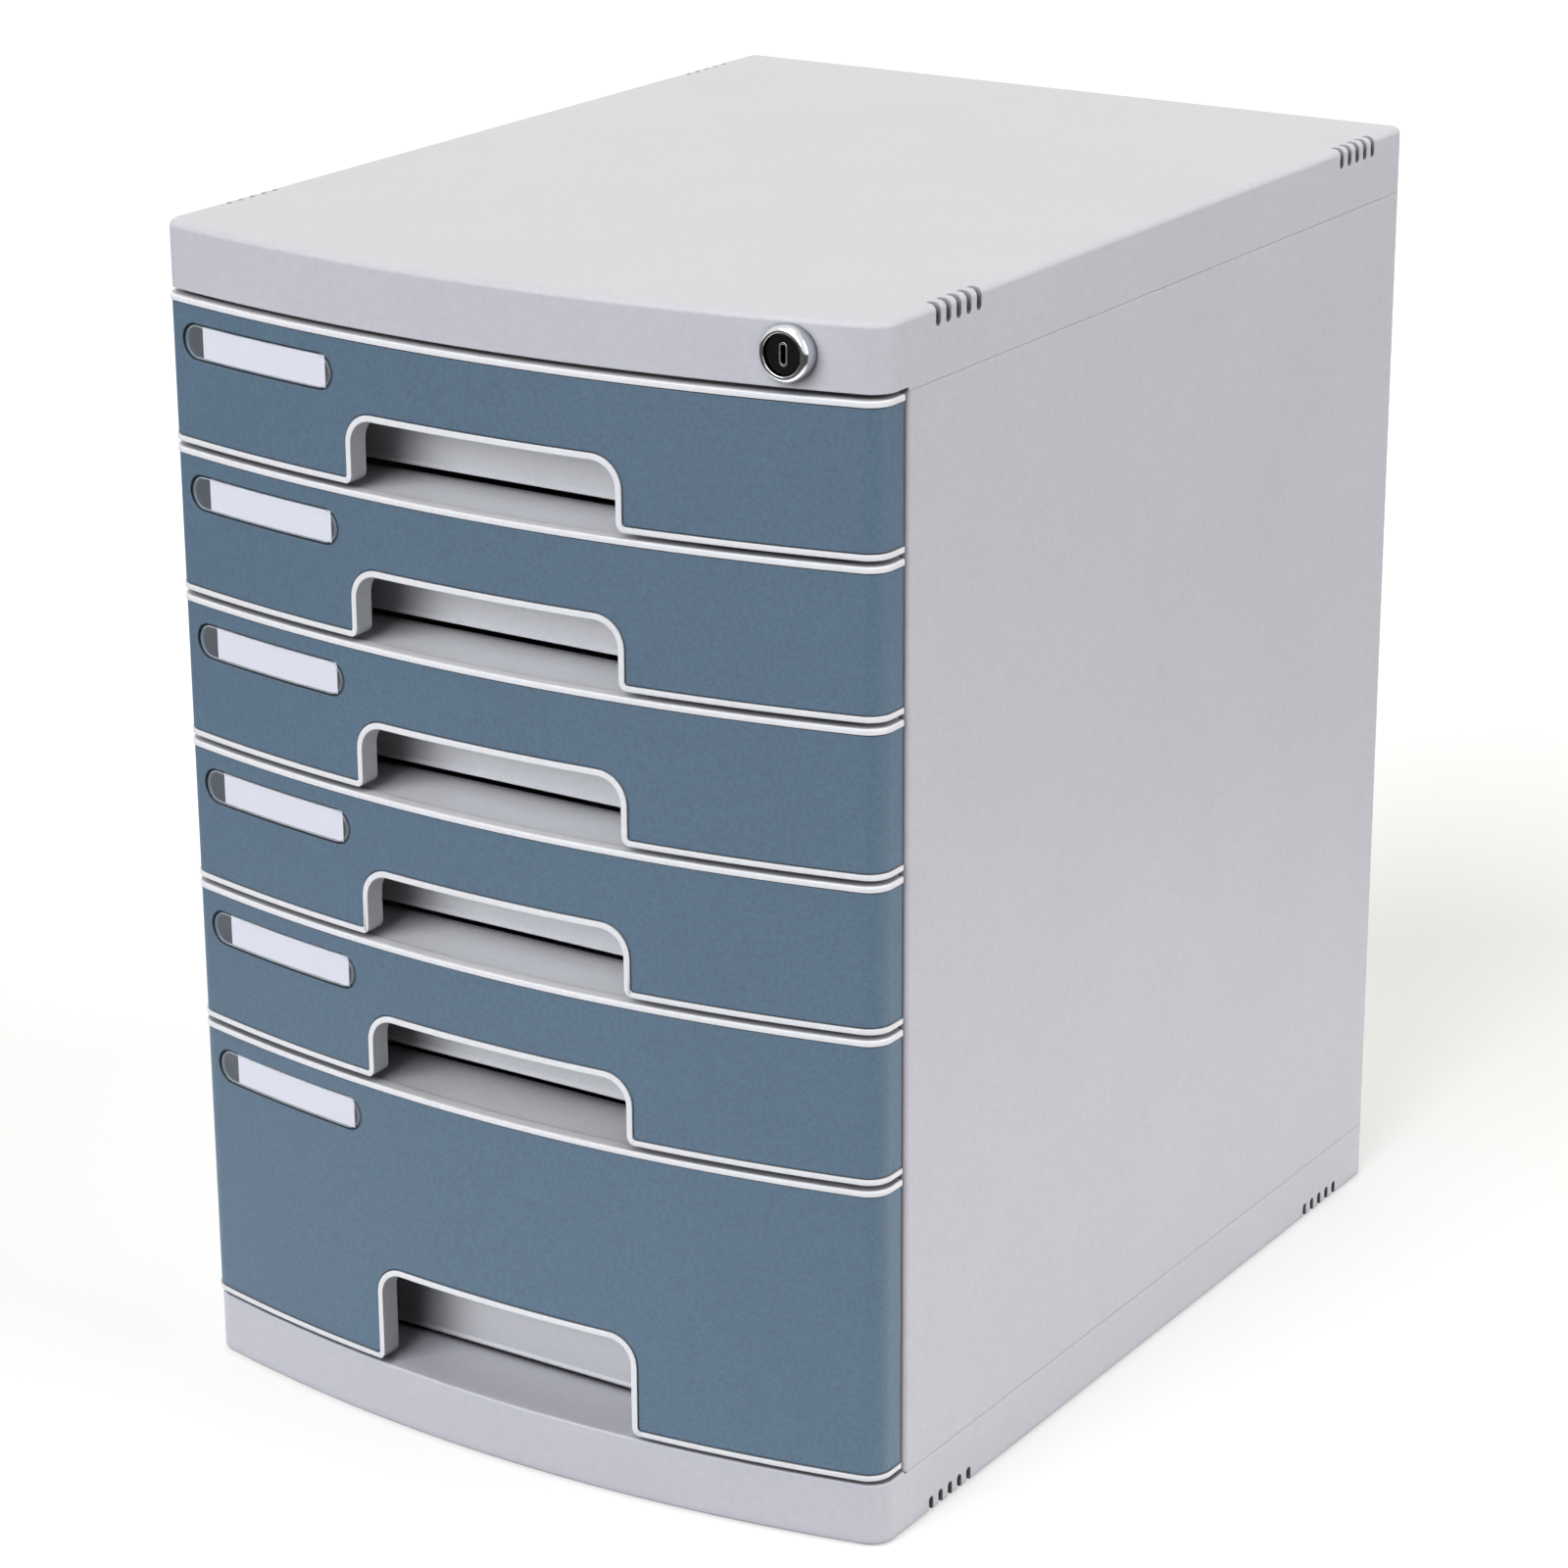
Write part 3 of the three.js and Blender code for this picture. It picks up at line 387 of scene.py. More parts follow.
@dataclass(frozen=True)
class BlockRow:
    """A row of like blocks with rounded corners, made by one node tree.

    The block's section lies in its own x and y, with its height along its own z, and is turned before it
    is placed.
    """

    section: Point2
    height: float
    corner_radius: float
    start: Point3
    step: Point3
    count: int
    turn: Point3 = (0.0, 0.0, 0.0)
    corner_steps: int = 5

    TREE_NAME = "block_row"
    MERGE_DISTANCE = 0.001
    SOCKETS = {float: "NodeSocketFloat", int: "NodeSocketInt", tuple: "NodeSocketVector"}

    def values(self) -> dict[str, float | int | Point3]:
        """Names this row's sizes as the tree's inputs.

        Returns:
            The value of each input.
        """
        return {
            "Width": self.section[0],
            "Length": self.section[1],
            "Height": self.height,
            "Corner radius": self.corner_radius,
            "Corner steps": self.corner_steps,
            "Start": self.start,
            "Step": self.step,
            "Turn": self.turn,
            "Count": self.count,
        }

    def tree(self) -> Tree:
        """Builds the node tree at its first use.

        Returns:
            The tree.
        """
        known = bpy.data.node_groups.get(self.TREE_NAME)
        if known:
            return known
        tree = bpy.data.node_groups.new(self.TREE_NAME, "GeometryNodeTree")
        for name, value in self.values().items():
            tree.interface.new_socket(name, in_out="INPUT", socket_type=self.SOCKETS[type(value)])
        tree.interface.new_socket("Material", in_out="INPUT", socket_type="NodeSocketMaterial")
        tree.interface.new_socket("Row", in_out="OUTPUT", socket_type="NodeSocketGeometry")
        given = add_node(tree, "NodeGroupInput").outputs
        sides = {"Width": given["Width"], "Height": given["Length"]}
        corners = add_node(tree, "GeometryNodeCurvePrimitiveQuadrilateral", links=sides).outputs[0]
        rounds = {"Curve": corners, "Count": given["Corner steps"], "Radius": given["Corner radius"]}
        outline = add_node(tree, "GeometryNodeFilletCurve", {"mode": "POLY"}, rounds).outputs[0]
        face = add_node(tree, "GeometryNodeFillCurve", {"mode": "NGONS"}, {"Curve": outline}).outputs[0]
        rise = add_node(tree, "ShaderNodeCombineXYZ", links={"Z": given["Height"]}).outputs[0]
        lift = {"Mesh": face, "Offset": rise}
        walls = add_node(tree, "GeometryNodeExtrudeMesh", {"Individual": False}, lift)
        under = add_node(tree, "GeometryNodeFlipFaces", links={"Mesh": face})
        both = add_node(tree, "GeometryNodeJoinGeometry", links={0: walls.outputs[0]})
        tree.links.new(under.outputs[0], both.inputs[0])
        merge = {"Distance": self.MERGE_DISTANCE}
        whole = {"Geometry": both.outputs[0]}
        block = add_node(tree, "GeometryNodeMergeByDistance", merge, whole).outputs[0]
        places = {"Count": given["Count"], "Start Location": given["Start"], "Offset": given["Step"]}
        line = add_node(tree, "GeometryNodeMeshLine", {"mode": "OFFSET"}, places).outputs[0]
        copies = {"Points": line, "Instance": block, "Rotation": given["Turn"]}
        row = add_node(tree, "GeometryNodeInstanceOnPoints", links=copies).outputs[0]
        real = add_node(tree, "GeometryNodeRealizeInstances", links={"Geometry": row}).outputs[0]
        dress = {"Geometry": real, "Material": given["Material"]}
        dressed = add_node(tree, "GeometryNodeSetMaterial", links=dress).outputs[0]
        add_node(tree, "NodeGroupOutput", links={0: dressed})
        return tree

    def form(self) -> Form:
        """Runs the tree with this row's values.

        Returns:
            The row as one solid.
        """
        host = placed("row", bpy.data.meshes.new("row"))
        modifier = host.modifiers.new("row", "NODES")
        modifier.node_group = self.tree()
        values = self.values()
        for socket in modifier.node_group.interface.items_tree:
            if socket.name in values:
                modifier[socket.identifier] = values[socket.name]
        made = settled_mesh(host)
        made.materials.clear()
        return Form(made)


# Finishes


def linear(hex_colour: str) -> tuple[float, float, float, float]:
    """Turns an sRGB hex colour to linear RGBA.

    Args:
        hex_colour: six hex digits.

    Returns:
        Red, green, blue and an alpha of one.
    """
    shares = [int(hex_colour[i : i + 2], 16) / 255 for i in (0, 2, 4)]
    red, green, blue = [s / 12.92 if s <= 0.04045 else ((s + 0.055) / 1.055) ** 2.4 for s in shares]
    return (red, green, blue, 1.0)


def grain(tree: Tree, size: float, detail: float = 2.0, roughness: float = 0.6) -> Socket:
    """Adds a noise over the piece's own coordinates.

    Args:
        tree: the material's tree.
        size: the size of one grain, in millimetres.
        detail: the number of finer layers.
        roughness: the strength of the finer layers.

    Returns:
        The noise's value, near 0.5.
    """
    place = add_node(tree, "ShaderNodeTexCoord").outputs["Object"]
    settings = {"Scale": METRE / size, "Detail": detail, "Roughness": roughness}
    return add_node(tree, "ShaderNodeTexNoise", settings, {"Vector": place}).outputs[0]


def spread(tree: Tree, noise: Socket, middle: float, reach: float, usual: Span = (0.3, 0.7)) -> Socket:
    """Stretches a noise's usual range about a value.

    Args:
        tree: the material's tree.
        noise: the noise.
        middle: the value at the noise's middle.
        reach: how far it goes to either side.
        usual: the noise's usual range.

    Returns:
        The stretched value.
    """
    ends = {"From Min": usual[0], "From Max": usual[1], "To Min": middle - reach, "To Max": middle + reach}
    return add_node(tree, "ShaderNodeMapRange", ends, {"Value": noise}).outputs[0]


def relief(
    tree: Tree, radius: float, height: Socket, depth: float, samples: int = 6
) -> tuple[Socket, Socket]:
    """Adds rounded edges, and fine relief over them.

    Args:
        tree: the material's tree.
        radius: the edges' radius, in millimetres.
        height: the relief's level.
        depth: its depth, in millimetres.
        samples: the number of directions in which an edge is looked for.

    Returns:
        The rounded surface's direction, and that of the relief over it.
    """
    edge = add_node(tree, "ShaderNodeBevel", {"samples": samples, "Radius": radius / METRE}).outputs[0]
    links = {"Height": height, "Normal": edge}
    bump = add_node(tree, "ShaderNodeBump", {"Strength": 1.0, "Distance": depth / METRE}, links)
    return edge, bump.outputs[0]


def painted_hollow_shade(tree: Tree, reach: float, darkest: float, openness: Span, samples: int = 6) -> Socket:
    """Paints shade where a surface is closed in, by darkening its colour; it stands for shade, not grime.

    Args:
        tree: the material's tree.
        reach: how near another surface counts, in millimetres.
        darkest: what is left of the colour in the tightest place.
        openness: the shares of open sky at which the painted shade is full and at which it ends.
        samples: the number of directions tried.

    Returns:
        A share of one for the colour.
    """
    near = add_node(tree, "ShaderNodeAmbientOcclusion", {"samples": samples, "Distance": reach / METRE})
    ends = {"From Min": openness[0], "From Max": openness[1], "To Min": darkest, "To Max": 1.0}
    return add_node(tree, "ShaderNodeMapRange", ends, {"Value": near.outputs["AO"]}).outputs[0]


def rim(tree: Tree, edge: Socket, at_edge: float, on_flat: float, bend: Span = (0.8, 0.97)) -> Socket:
    """Tells a piece's edges from its flat faces, for the painted highlight and painted shade along edges.

    Args:
        tree: the material's tree.
        edge: the surface's rounded direction.
        at_edge: the value along an edge.
        on_flat: the value on a flat face.
        bend: the cosines of the rounding's turn where the edge is full and where it ends.

    Returns:
        The value.
    """
    flat = add_node(tree, "ShaderNodeNewGeometry").outputs["Normal"]
    turn = add_node(tree, "ShaderNodeVectorMath", {"operation": "DOT_PRODUCT"}, {0: edge, 1: flat})
    ends = {"From Min": bend[0], "From Max": bend[1], "To Min": at_edge, "To Max": on_flat}
    return add_node(tree, "ShaderNodeMapRange", ends, {"Value": turn.outputs["Value"]}).outputs[0]


def tinted(tree: Tree, colour: str, shares: Sequence[Socket]) -> Socket:
    """Adds a colour times several shares.

    Args:
        tree: the material's tree.
        colour: the sRGB hex colour.
        shares: shares of one.

    Returns:
        The colour.
    """
    total = shares[0]
    for share in shares[1:]:
        total = add_node(tree, "ShaderNodeMath", {"operation": "MULTIPLY"}, {0: total, 1: share}).outputs[0]
    settings = {"operation": "SCALE", 0: linear(colour)[:3]}
    return add_node(tree, "ShaderNodeVectorMath", settings, {"Scale": total}).outputs[0]


class Finish:
    """A finish that makes its material once."""

    name: str

    def material(self) -> bpy.types.Material:
        """Builds the material at its first use.

        Returns:
            The material.
        """
        known = bpy.data.materials.get(self.name)
        if known:
            return known
        made = bpy.data.materials.new(self.name)
        made.use_nodes = True
        made.node_tree.nodes.clear()
        shader = self.shade(made.node_tree)
        add_node(made.node_tree, "ShaderNodeOutputMaterial", links={"Surface": shader.outputs[0]})
        return made

    def shade(self, tree: Tree) -> Node:
        """Builds the shader in a material's tree and gives its last node."""
        raise NotImplementedError


@dataclass(frozen=True)
class MouldedPlastic(Finish):
    """Injection-moulded plastic from a spark-eroded mould: a fine, even, matte grain.

    The real grain is about 0.1 mm across, too fine for the render, so it is drawn several times coarser.
    """

    name: str
    colour: str
    grain_size: float = 0.8
    grain_height: float = 0.02
    speck_size: float = 2.6
    speck_detail: float = 3.0
    speck_share: float = 0.03
    cloud_size: float = 70.0
    cloud_share: float = 0.015
    roughness: float = 0.5
    roughness_share: float = 0.06
    edge_radius: float = 0.5
    specular: float = 0.5
    # painted shade in tight places: how far it reaches, how much colour it leaves, and where it is full and
    # where it ends
    hollow_shade_reach: float = 4.0
    hollow_shade_left: float = 0.6
    hollow_shade_openness: Span = (0.25, 0.85)
    painted_edge_light: float = 1.0  # above one a painted highlight along the edges, below one painted shade along them

    def shade(self, tree: Tree) -> Node:
        """Builds grain, specks, faint clouds, painted shade in tight places, and painted light along
        rounded edges: a highlight above one, shade below.

        Args:
            tree: the material's tree.

        Returns:
            The shader.
        """
        fine = grain(tree, self.grain_size)
        edge, surface = relief(tree, self.edge_radius, fine, self.grain_height)
        shares = [
            spread(tree, grain(tree, self.speck_size, self.speck_detail), 1.0, self.speck_share),
            spread(tree, grain(tree, self.cloud_size), 1.0, self.cloud_share),
            # painted shade: the colour darkens where the surface is closed in
            painted_hollow_shade(tree, self.hollow_shade_reach, self.hollow_shade_left, self.hollow_shade_openness),
        ]
        # painted light along rounded edges: a highlight above one, shade below one
        if self.painted_edge_light != 1.0:
            shares.append(rim(tree, edge, self.painted_edge_light, 1.0))
        links = {
            "Base Color": tinted(tree, self.colour, shares),
            "Roughness": spread(tree, fine, self.roughness, self.roughness_share),
            "Normal": surface,
        }
        return add_node(tree, "ShaderNodeBsdfPrincipled", {"Specular IOR Level": self.specular}, links)


@dataclass(frozen=True)
class ClearPlastic(Finish):
    """Clear moulded polystyrene: what lies behind shows through, and a painted highlight makes the edge
    pale and opaque.
    """

    name: str
    colour: str = "dfe7ee"
    roughness: float = 0.14
    roughness_share: float = 0.04
    opacity: float = 0.06
    # opacity of the painted highlight along the edge
    edge_highlight_opacity: float = 1.0
    ripple_size: float = 9.0
    ripple_height: float = 0.02
    edge_radius: float = 0.8
    edge_samples: int = 4

    def shade(self, tree: Tree) -> Node:
        """Builds a thin clear sheet with a faint ripple and a painted highlight along its edge.

        Args:
            tree: the material's tree.

        Returns:
            The shader.
        """
        ripple = grain(tree, self.ripple_size)
        edge, surface = relief(tree, self.edge_radius, ripple, self.ripple_height, self.edge_samples)
        links = {
            "Roughness": spread(tree, ripple, self.roughness, self.roughness_share),
            # painted highlight: the pale colour turns opaque along the edge
            "Alpha": rim(tree, edge, self.edge_highlight_opacity, self.opacity),
            "Normal": surface,
        }
        return add_node(tree, "ShaderNodeBsdfPrincipled", {"Base Color": linear(self.colour)}, links)


@dataclass(frozen=True)
class CardStock(Finish):
    """Coated white card: flat and matte, with faint fibres."""

    name: str
    colour: str = "efedf7"
    fibre_size: float = 0.9
    fibre_detail: float = 4.0
    fibre_share: float = 0.02
    fibre_height: float = 0.02
    fibre_strength: float = 0.4
    roughness: float = 0.75

    def shade(self, tree: Tree) -> Node:
        """Builds the card's faint fibres.

        Args:
            tree: the material's tree.

        Returns:
            The shader.
        """
        fibre = grain(tree, self.fibre_size, self.fibre_detail)
        tint = tinted(tree, self.colour, [spread(tree, fibre, 1.0, self.fibre_share)])
        settings = {"Strength": self.fibre_strength, "Distance": self.fibre_height / METRE}
        bump = add_node(tree, "ShaderNodeBump", settings, {"Height": fibre})
        links = {"Base Color": tint, "Normal": bump.outputs[0]}
        return add_node(tree, "ShaderNodeBsdfPrincipled", {"Roughness": self.roughness}, links)


@dataclass(frozen=True)
class PlatedMetal(Finish):
    """Plated metal: chrome polished bright, or zinc left dull with fine draw marks."""

    name: str
    colour: str
    roughness: float
    streak_size: float
    streak_height: float
    streak_detail: float = 3.0
    polish_middle: float = 1.05
    polish_reach: float = 0.25
    edge_radius: float = 0.25
    # painted shade where the metal is closed in: its reach, what it leaves of the colour, and where it is
    # full and where it ends
    shade_reach: float = 5.0
    shade_left: float = 0.12
    shade_openness: Span = (0.5, 0.98)

    def shade(self, tree: Tree) -> Node:
        """Builds the metal with fine marks in its polish, and painted shade that darkens its colour where
        it is closed in.

        Args:
            tree: the material's tree.

        Returns:
            The shader.
        """
        marks = grain(tree, self.streak_size, self.streak_detail)
        surface = relief(tree, self.edge_radius, marks, self.streak_height)[1]
        # painted shade where the metal is closed in
        closed_in_shade = painted_hollow_shade(tree, self.shade_reach, self.shade_left, self.shade_openness)
        middle, reach = self.roughness * self.polish_middle, self.roughness * self.polish_reach
        links = {
            "Base Color": tinted(tree, self.colour, [closed_in_shade]),
            "Roughness": spread(tree, marks, middle, reach),
            "Normal": surface,
        }
        return add_node(tree, "ShaderNodeBsdfPrincipled", {"Metallic": 1.0}, links)


@dataclass(frozen=True)
class StageWhite(Finish):
    """White paper for the floor, white to the camera and half lit through, so that its shadow stays light.

    What it throws back is bright near the cabinet and greyer farther off, as under one broad lamp.
    """

    name: str = "white_paper"
    shown: float = 0.95
    lit_through: float = 0.5
    bounce_levels: Span = (0.2, 0.24)
    bounce_reach: Span = (300.0, 1300.0)
    mirror_levels: Span = (1.7, 0.1)
    mirror_reach: Span = (430.0, 900.0)
    roughness: float = 0.9

    def fading(self, tree: Tree, reach: Span, levels: Span) -> Socket:
        """Adds a level that changes smoothly between two distances from the cabinet's middle.

        Args:
            tree: the material's tree.
            reach: where the change starts and ends, in millimetres.
            levels: the level before and after it.

        Returns:
            The level.
        """
        place = add_node(tree, "ShaderNodeTexCoord").outputs["Object"]
        away = add_node(tree, "ShaderNodeVectorMath", {"operation": "LENGTH"}, {0: place}).outputs["Value"]
        ends = {"To Min": levels[0], "To Max": levels[1], "interpolation_type": "SMOOTHSTEP"}
        near = {"From Min": reach[0] / METRE, "From Max": reach[1] / METRE}
        return add_node(tree, "ShaderNodeMapRange", near | ends, {"Value": away}).outputs[0]

    def shade(self, tree: Tree) -> Node:
        """Builds a plain matte white that fades in what it throws back.

        Args:
            tree: the material's tree.

        Returns:
            The shader.
        """
        rays = add_node(tree, "ShaderNodeLightPath").outputs
        bounced = self.fading(tree, self.bounce_reach, self.bounce_levels)
        mirrored = self.fading(tree, self.mirror_reach, self.mirror_levels)
        throw = {"Value": rays["Is Glossy Ray"], "To Min": bounced, "To Max": mirrored}
        thrown = add_node(tree, "ShaderNodeMapRange", links=throw).outputs[0]
        seen = {"Value": rays["Is Camera Ray"]}
        tone = {"To Min": thrown, **seen}
        level = add_node(tree, "ShaderNodeMapRange", {"To Max": self.shown}, tone).outputs[0]
        paper = add_node(tree, "ShaderNodeBsdfDiffuse", {"Roughness": self.roughness}, {"Color": level})
        glow = add_node(tree, "ShaderNodeEmission", {"Color": WHITE})
        share = add_node(tree, "ShaderNodeMapRange", {"To Max": self.lit_through}, seen).outputs[0]
        layers = {0: share, 1: paper.outputs[0], 2: glow.outputs[0]}
        return add_node(tree, "ShaderNodeMixShader", links=layers)


# Cool grey casing, moulded: an even soft sheen, a painted highlight along its edges and painted shade in
# its seams and grooves.
CASING = MouldedPlastic(
    "casing_moulded_polystyrene",
    "c9c8cf",
    edge_radius=0.7,
    hollow_shade_reach=5.0,
    hollow_shade_left=0.3,
    painted_edge_light=1.06,
)
# Nearly white drawers: painted shade darkens them softly inwards, and a painted highlight lightens the lips
# and other edges.
TRAY = MouldedPlastic(
    "tray_moulded_polystyrene",
    "efeff2",
    grain_height=0.012,
    roughness=0.45,
    edge_radius=0.6,
    hollow_shade_reach=34.0,
    hollow_shade_left=0.3,
    hollow_shade_openness=(0.1, 0.7),
    painted_edge_light=1.12,
)
# A copy of the drawer plastic for the tall front, whose wider hollow gets stronger painted shade and whose
# edges get a brighter painted highlight.
SHADED_DEEP_TRAY = replace(TRAY, name="deep_tray_painted_shade_polystyrene", hollow_shade_openness=(0.34, 0.96), painted_edge_light=1.2)
# Blue-grey plates with a coarser grain: matte, faintly speckled, with painted shade along the edges in the
# recess and round the label pocket.
FASCIA = MouldedPlastic(
    "fascia_moulded_abs",
    "586e82",
    speck_size=1.6,
    speck_share=0.12,
    cloud_share=0.02,
    roughness=0.55,
    edge_radius=0.8,
    hollow_shade_reach=2.2,
    hollow_shade_left=0.1,
    painted_edge_light=0.62,
)
WINDOW = ClearPlastic("window_clear_polystyrene")
CARD = CardStock("label_card_stock")
# Feet: dull black, almost without a highlight.
RUBBER = MouldedPlastic("foot_rubber", "29292b", roughness=0.8, specular=0.3)
# The lock's ring: a near mirror that takes its tone from the room, with painted shade on its side near the
# cover.
CHROME = PlatedMetal("bezel_chrome_plated_zinc", "dcdee2", 0.1, 3.0, 0.002)
# The lock's face: smooth black with a small soft highlight.
BLACK = MouldedPlastic(
    "plug_black_nylon", "0c0e10", grain_height=0.004, roughness=0.3, speck_share=0.1, specular=0.2
)
# The key slot's rim: a thin satin glint.
STEEL = PlatedMetal("keyway_nickel_plated_brass", "b9bcc0", 0.25, 1.2, 0.004)
# Nut, cam, screw, bar and catches: dull grey metal.
ZINC = PlatedMetal("bar_zinc_plated_steel", "a9acb0", 0.38, 0.7, 0.006)


# Finished pieces


@dataclass(frozen=True)
class Part:
    """One finished piece and what it stands for."""

    name: str
    finish: Finish
    body: str
    replaces: tuple[str, ...]
    slot: str
    merge_distance: float = 0.01
    flat_angle: float = 0.4
    sharp_angle: float = 32.0

    def make(self, form: Form) -> None:
        """Makes the piece's object in metres from its solid, and ties it to its body.

        Args:
            form: the solid.
        """
        work = bmesh.new()
        work.from_mesh(form.mesh)
        bmesh.ops.remove_doubles(work, verts=work.verts, dist=self.merge_distance)
        flat = math.radians(self.flat_angle)
        bmesh.ops.dissolve_limit(
            work, angle_limit=flat, verts=work.verts, edges=work.edges, delimit={"NORMAL"}
        )
        bmesh.ops.scale(work, vec=(1 / METRE,) * 3, verts=work.verts)
        mesh = bpy.data.meshes.new(self.name)
        work.to_mesh(mesh)
        work.free()
        mesh.shade_smooth()
        mesh.set_sharp_from_angle(angle=math.radians(self.sharp_angle))
        host = placed("host", mesh)
        host.modifiers.new("even", "WEIGHTED_NORMAL").keep_sharp = True
        settled = settled_mesh(host)
        settled.name = self.name
        settled.materials.clear()
        settled.materials.append(self.finish.material())
        piece = placed(self.name, settled)
        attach(piece, self.body)
        if self.replaces:
            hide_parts(*self.replaces)
        LOG.info("%s: %d faces on %s", self.name, len(settled.polygons), self.body)


def dress_node(node: str, finish: Finish) -> None:
    """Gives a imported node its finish.

    Args:
        node: the node's name.
        finish: its finish.
    """
    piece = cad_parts[node]
    if not piece.data.materials:
        piece.data.materials.append(None)
    for slot in piece.material_slots:
        slot.material = finish.material()
    LOG.info("%s: dressed", node)


# The shared plan


@dataclass(frozen=True)
class CabinetPlan:
    """Sizes that several sub-assemblies share, and the bowed outline."""

    width: float = 300.0
    depth: float = 400.0
    bow_radius: float = 620.0
    front_corner_radius: float = 9.0
    rear_corner_radius: float = 4.0
    front_proud: float = 1.5
    skin: float = 2.5
    seat_gap: float = 0.3
    weld: float = 0.5
    overrun: float = 4.0
    base_front_height: float = 24.6
    base_side_step: float = 1.0
    floor_drop: float = 4.5
    deep_pitch: float = 113.0
    shallow_pitch: float = 55.5
    shallow_count: int = 5
    drawer_gap: float = 1.9
    cover_front_height: float = 24.0
    cover_side_drop: float = 1.4
    front_reach: float = 32.5
    front_side_inset: float = 0.3
    panel_groove: float = 1.5
    bow_steps: int = 56
    corner_steps: int = 10

    @property
    def half(self) -> float:
        """Half the width."""
        return self.width / 2

    @property
    def back(self) -> float:
        """The back plane."""
        return self.depth / 2

    @property
    def front_crown(self) -> float:
        """The drawer fronts' foremost plane."""
        return -self.depth / 2

    @property
    def shell_crown(self) -> float:
        """The foremost plane of the cover and the base."""
        return self.front_crown + self.front_proud

    @property
    def front_end(self) -> float:
        """Where the drawer fronts' ends stop."""
        return self.front_crown + self.front_reach

    @property
    def front_half(self) -> float:
        """Half a drawer front's width."""
        return self.half - self.front_side_inset

    @property
    def panel_front(self) -> float:
        """The side panels' front plane."""
        return self.front_end + self.panel_groove

    @property
    def inner(self) -> float:
        """The side panels' inner face."""
        return self.half - self.skin

    @property
    def deep_line(self) -> float:
        """The lowest bay's lower line."""
        return self.base_front_height + self.drawer_gap / 2

    @property
    def shallow_line(self) -> float:
        """The lowest bay's upper line."""
        return self.deep_line + self.deep_pitch

    @property
    def top_line(self) -> float:
        """The highest bay's upper line."""
        return self.shallow_line + self.shallow_count * self.shallow_pitch

    @property
    def cover_front(self) -> float:
        """The cover's lower edge at the front."""
        return self.top_line + self.drawer_gap / 2

    @property
    def top(self) -> float:
        """The top plane."""
        return self.cover_front + self.cover_front_height

    @property
    def cover_side(self) -> float:
        """The cover's lower edge at the sides."""
        return self.cover_front - self.cover_side_drop

    @property
    def base_side(self) -> float:
        """The base's upper edge at the sides."""
        return self.base_front_height - self.base_side_step

    @property
    def floor(self) -> float:
        """The cabinet's floor."""
        return self.base_front_height - self.floor_drop

    @property
    def wide(self) -> Span:
        """A span of x past both sides, for cutters."""
        return self.grown((-self.half, self.half))

    def grown(self, span: Span) -> Span:
        """Gives a span with an overrun at both ends, for cutters."""
        return (span[0] - self.overrun, span[1] + self.overrun)

    def outline(
        self, crown: float, half: float, inset: float, back: float, rear_radius: float = 0.0
    ) -> list[Point2]:
        """The bowed plan outline.

        Args:
            crown: the foremost plane before the inset.
            half: half the width before the inset.
            inset: how far the outline is set in.
            back: the rear plane.
            rear_radius: the rear corners' radius before the inset.

        Returns:
            The outline's points.
        """
        corner_x = half - self.front_corner_radius
        reach = self.bow_radius - self.front_corner_radius
        centre_y = crown + self.bow_radius
        corner_y = centre_y - math.sqrt(reach**2 - corner_x**2)
        swing = math.asin(corner_x / reach)
        radius = self.front_corner_radius - inset
        side = half - inset
        rear = rear_radius - inset
        steps = self.corner_steps
        bow_ends = (-QUARTER - swing, -QUARTER + swing)
        bow = arc((0, centre_y), self.bow_radius - inset, *bow_ends, self.bow_steps)
        right = arc((corner_x, corner_y), radius, -QUARTER + swing, 0, steps)[1:]
        left = arc((-corner_x, corner_y), radius, math.pi, 3 * QUARTER - swing, steps)[:-1]
        behind = shoulders(side, back, rear, steps) if rear > 0 else [(side, back), (-side, back)]
        return bow + right + behind + left

    def shell_outline(self, inset: float) -> list[Point2]:
        """Gives the outline of the cover and the base, set in by a wall."""
        return self.outline(self.shell_crown, self.half, inset, self.back - inset, self.rear_corner_radius)

    def shell(self, inset: float, z: Span) -> Form:
        """Gives the plan of the cover and the base, set in by a wall, between two planes."""
        return Form.prism(self.shell_outline(inset), z, Axis.UP)


PLAN = CabinetPlan()


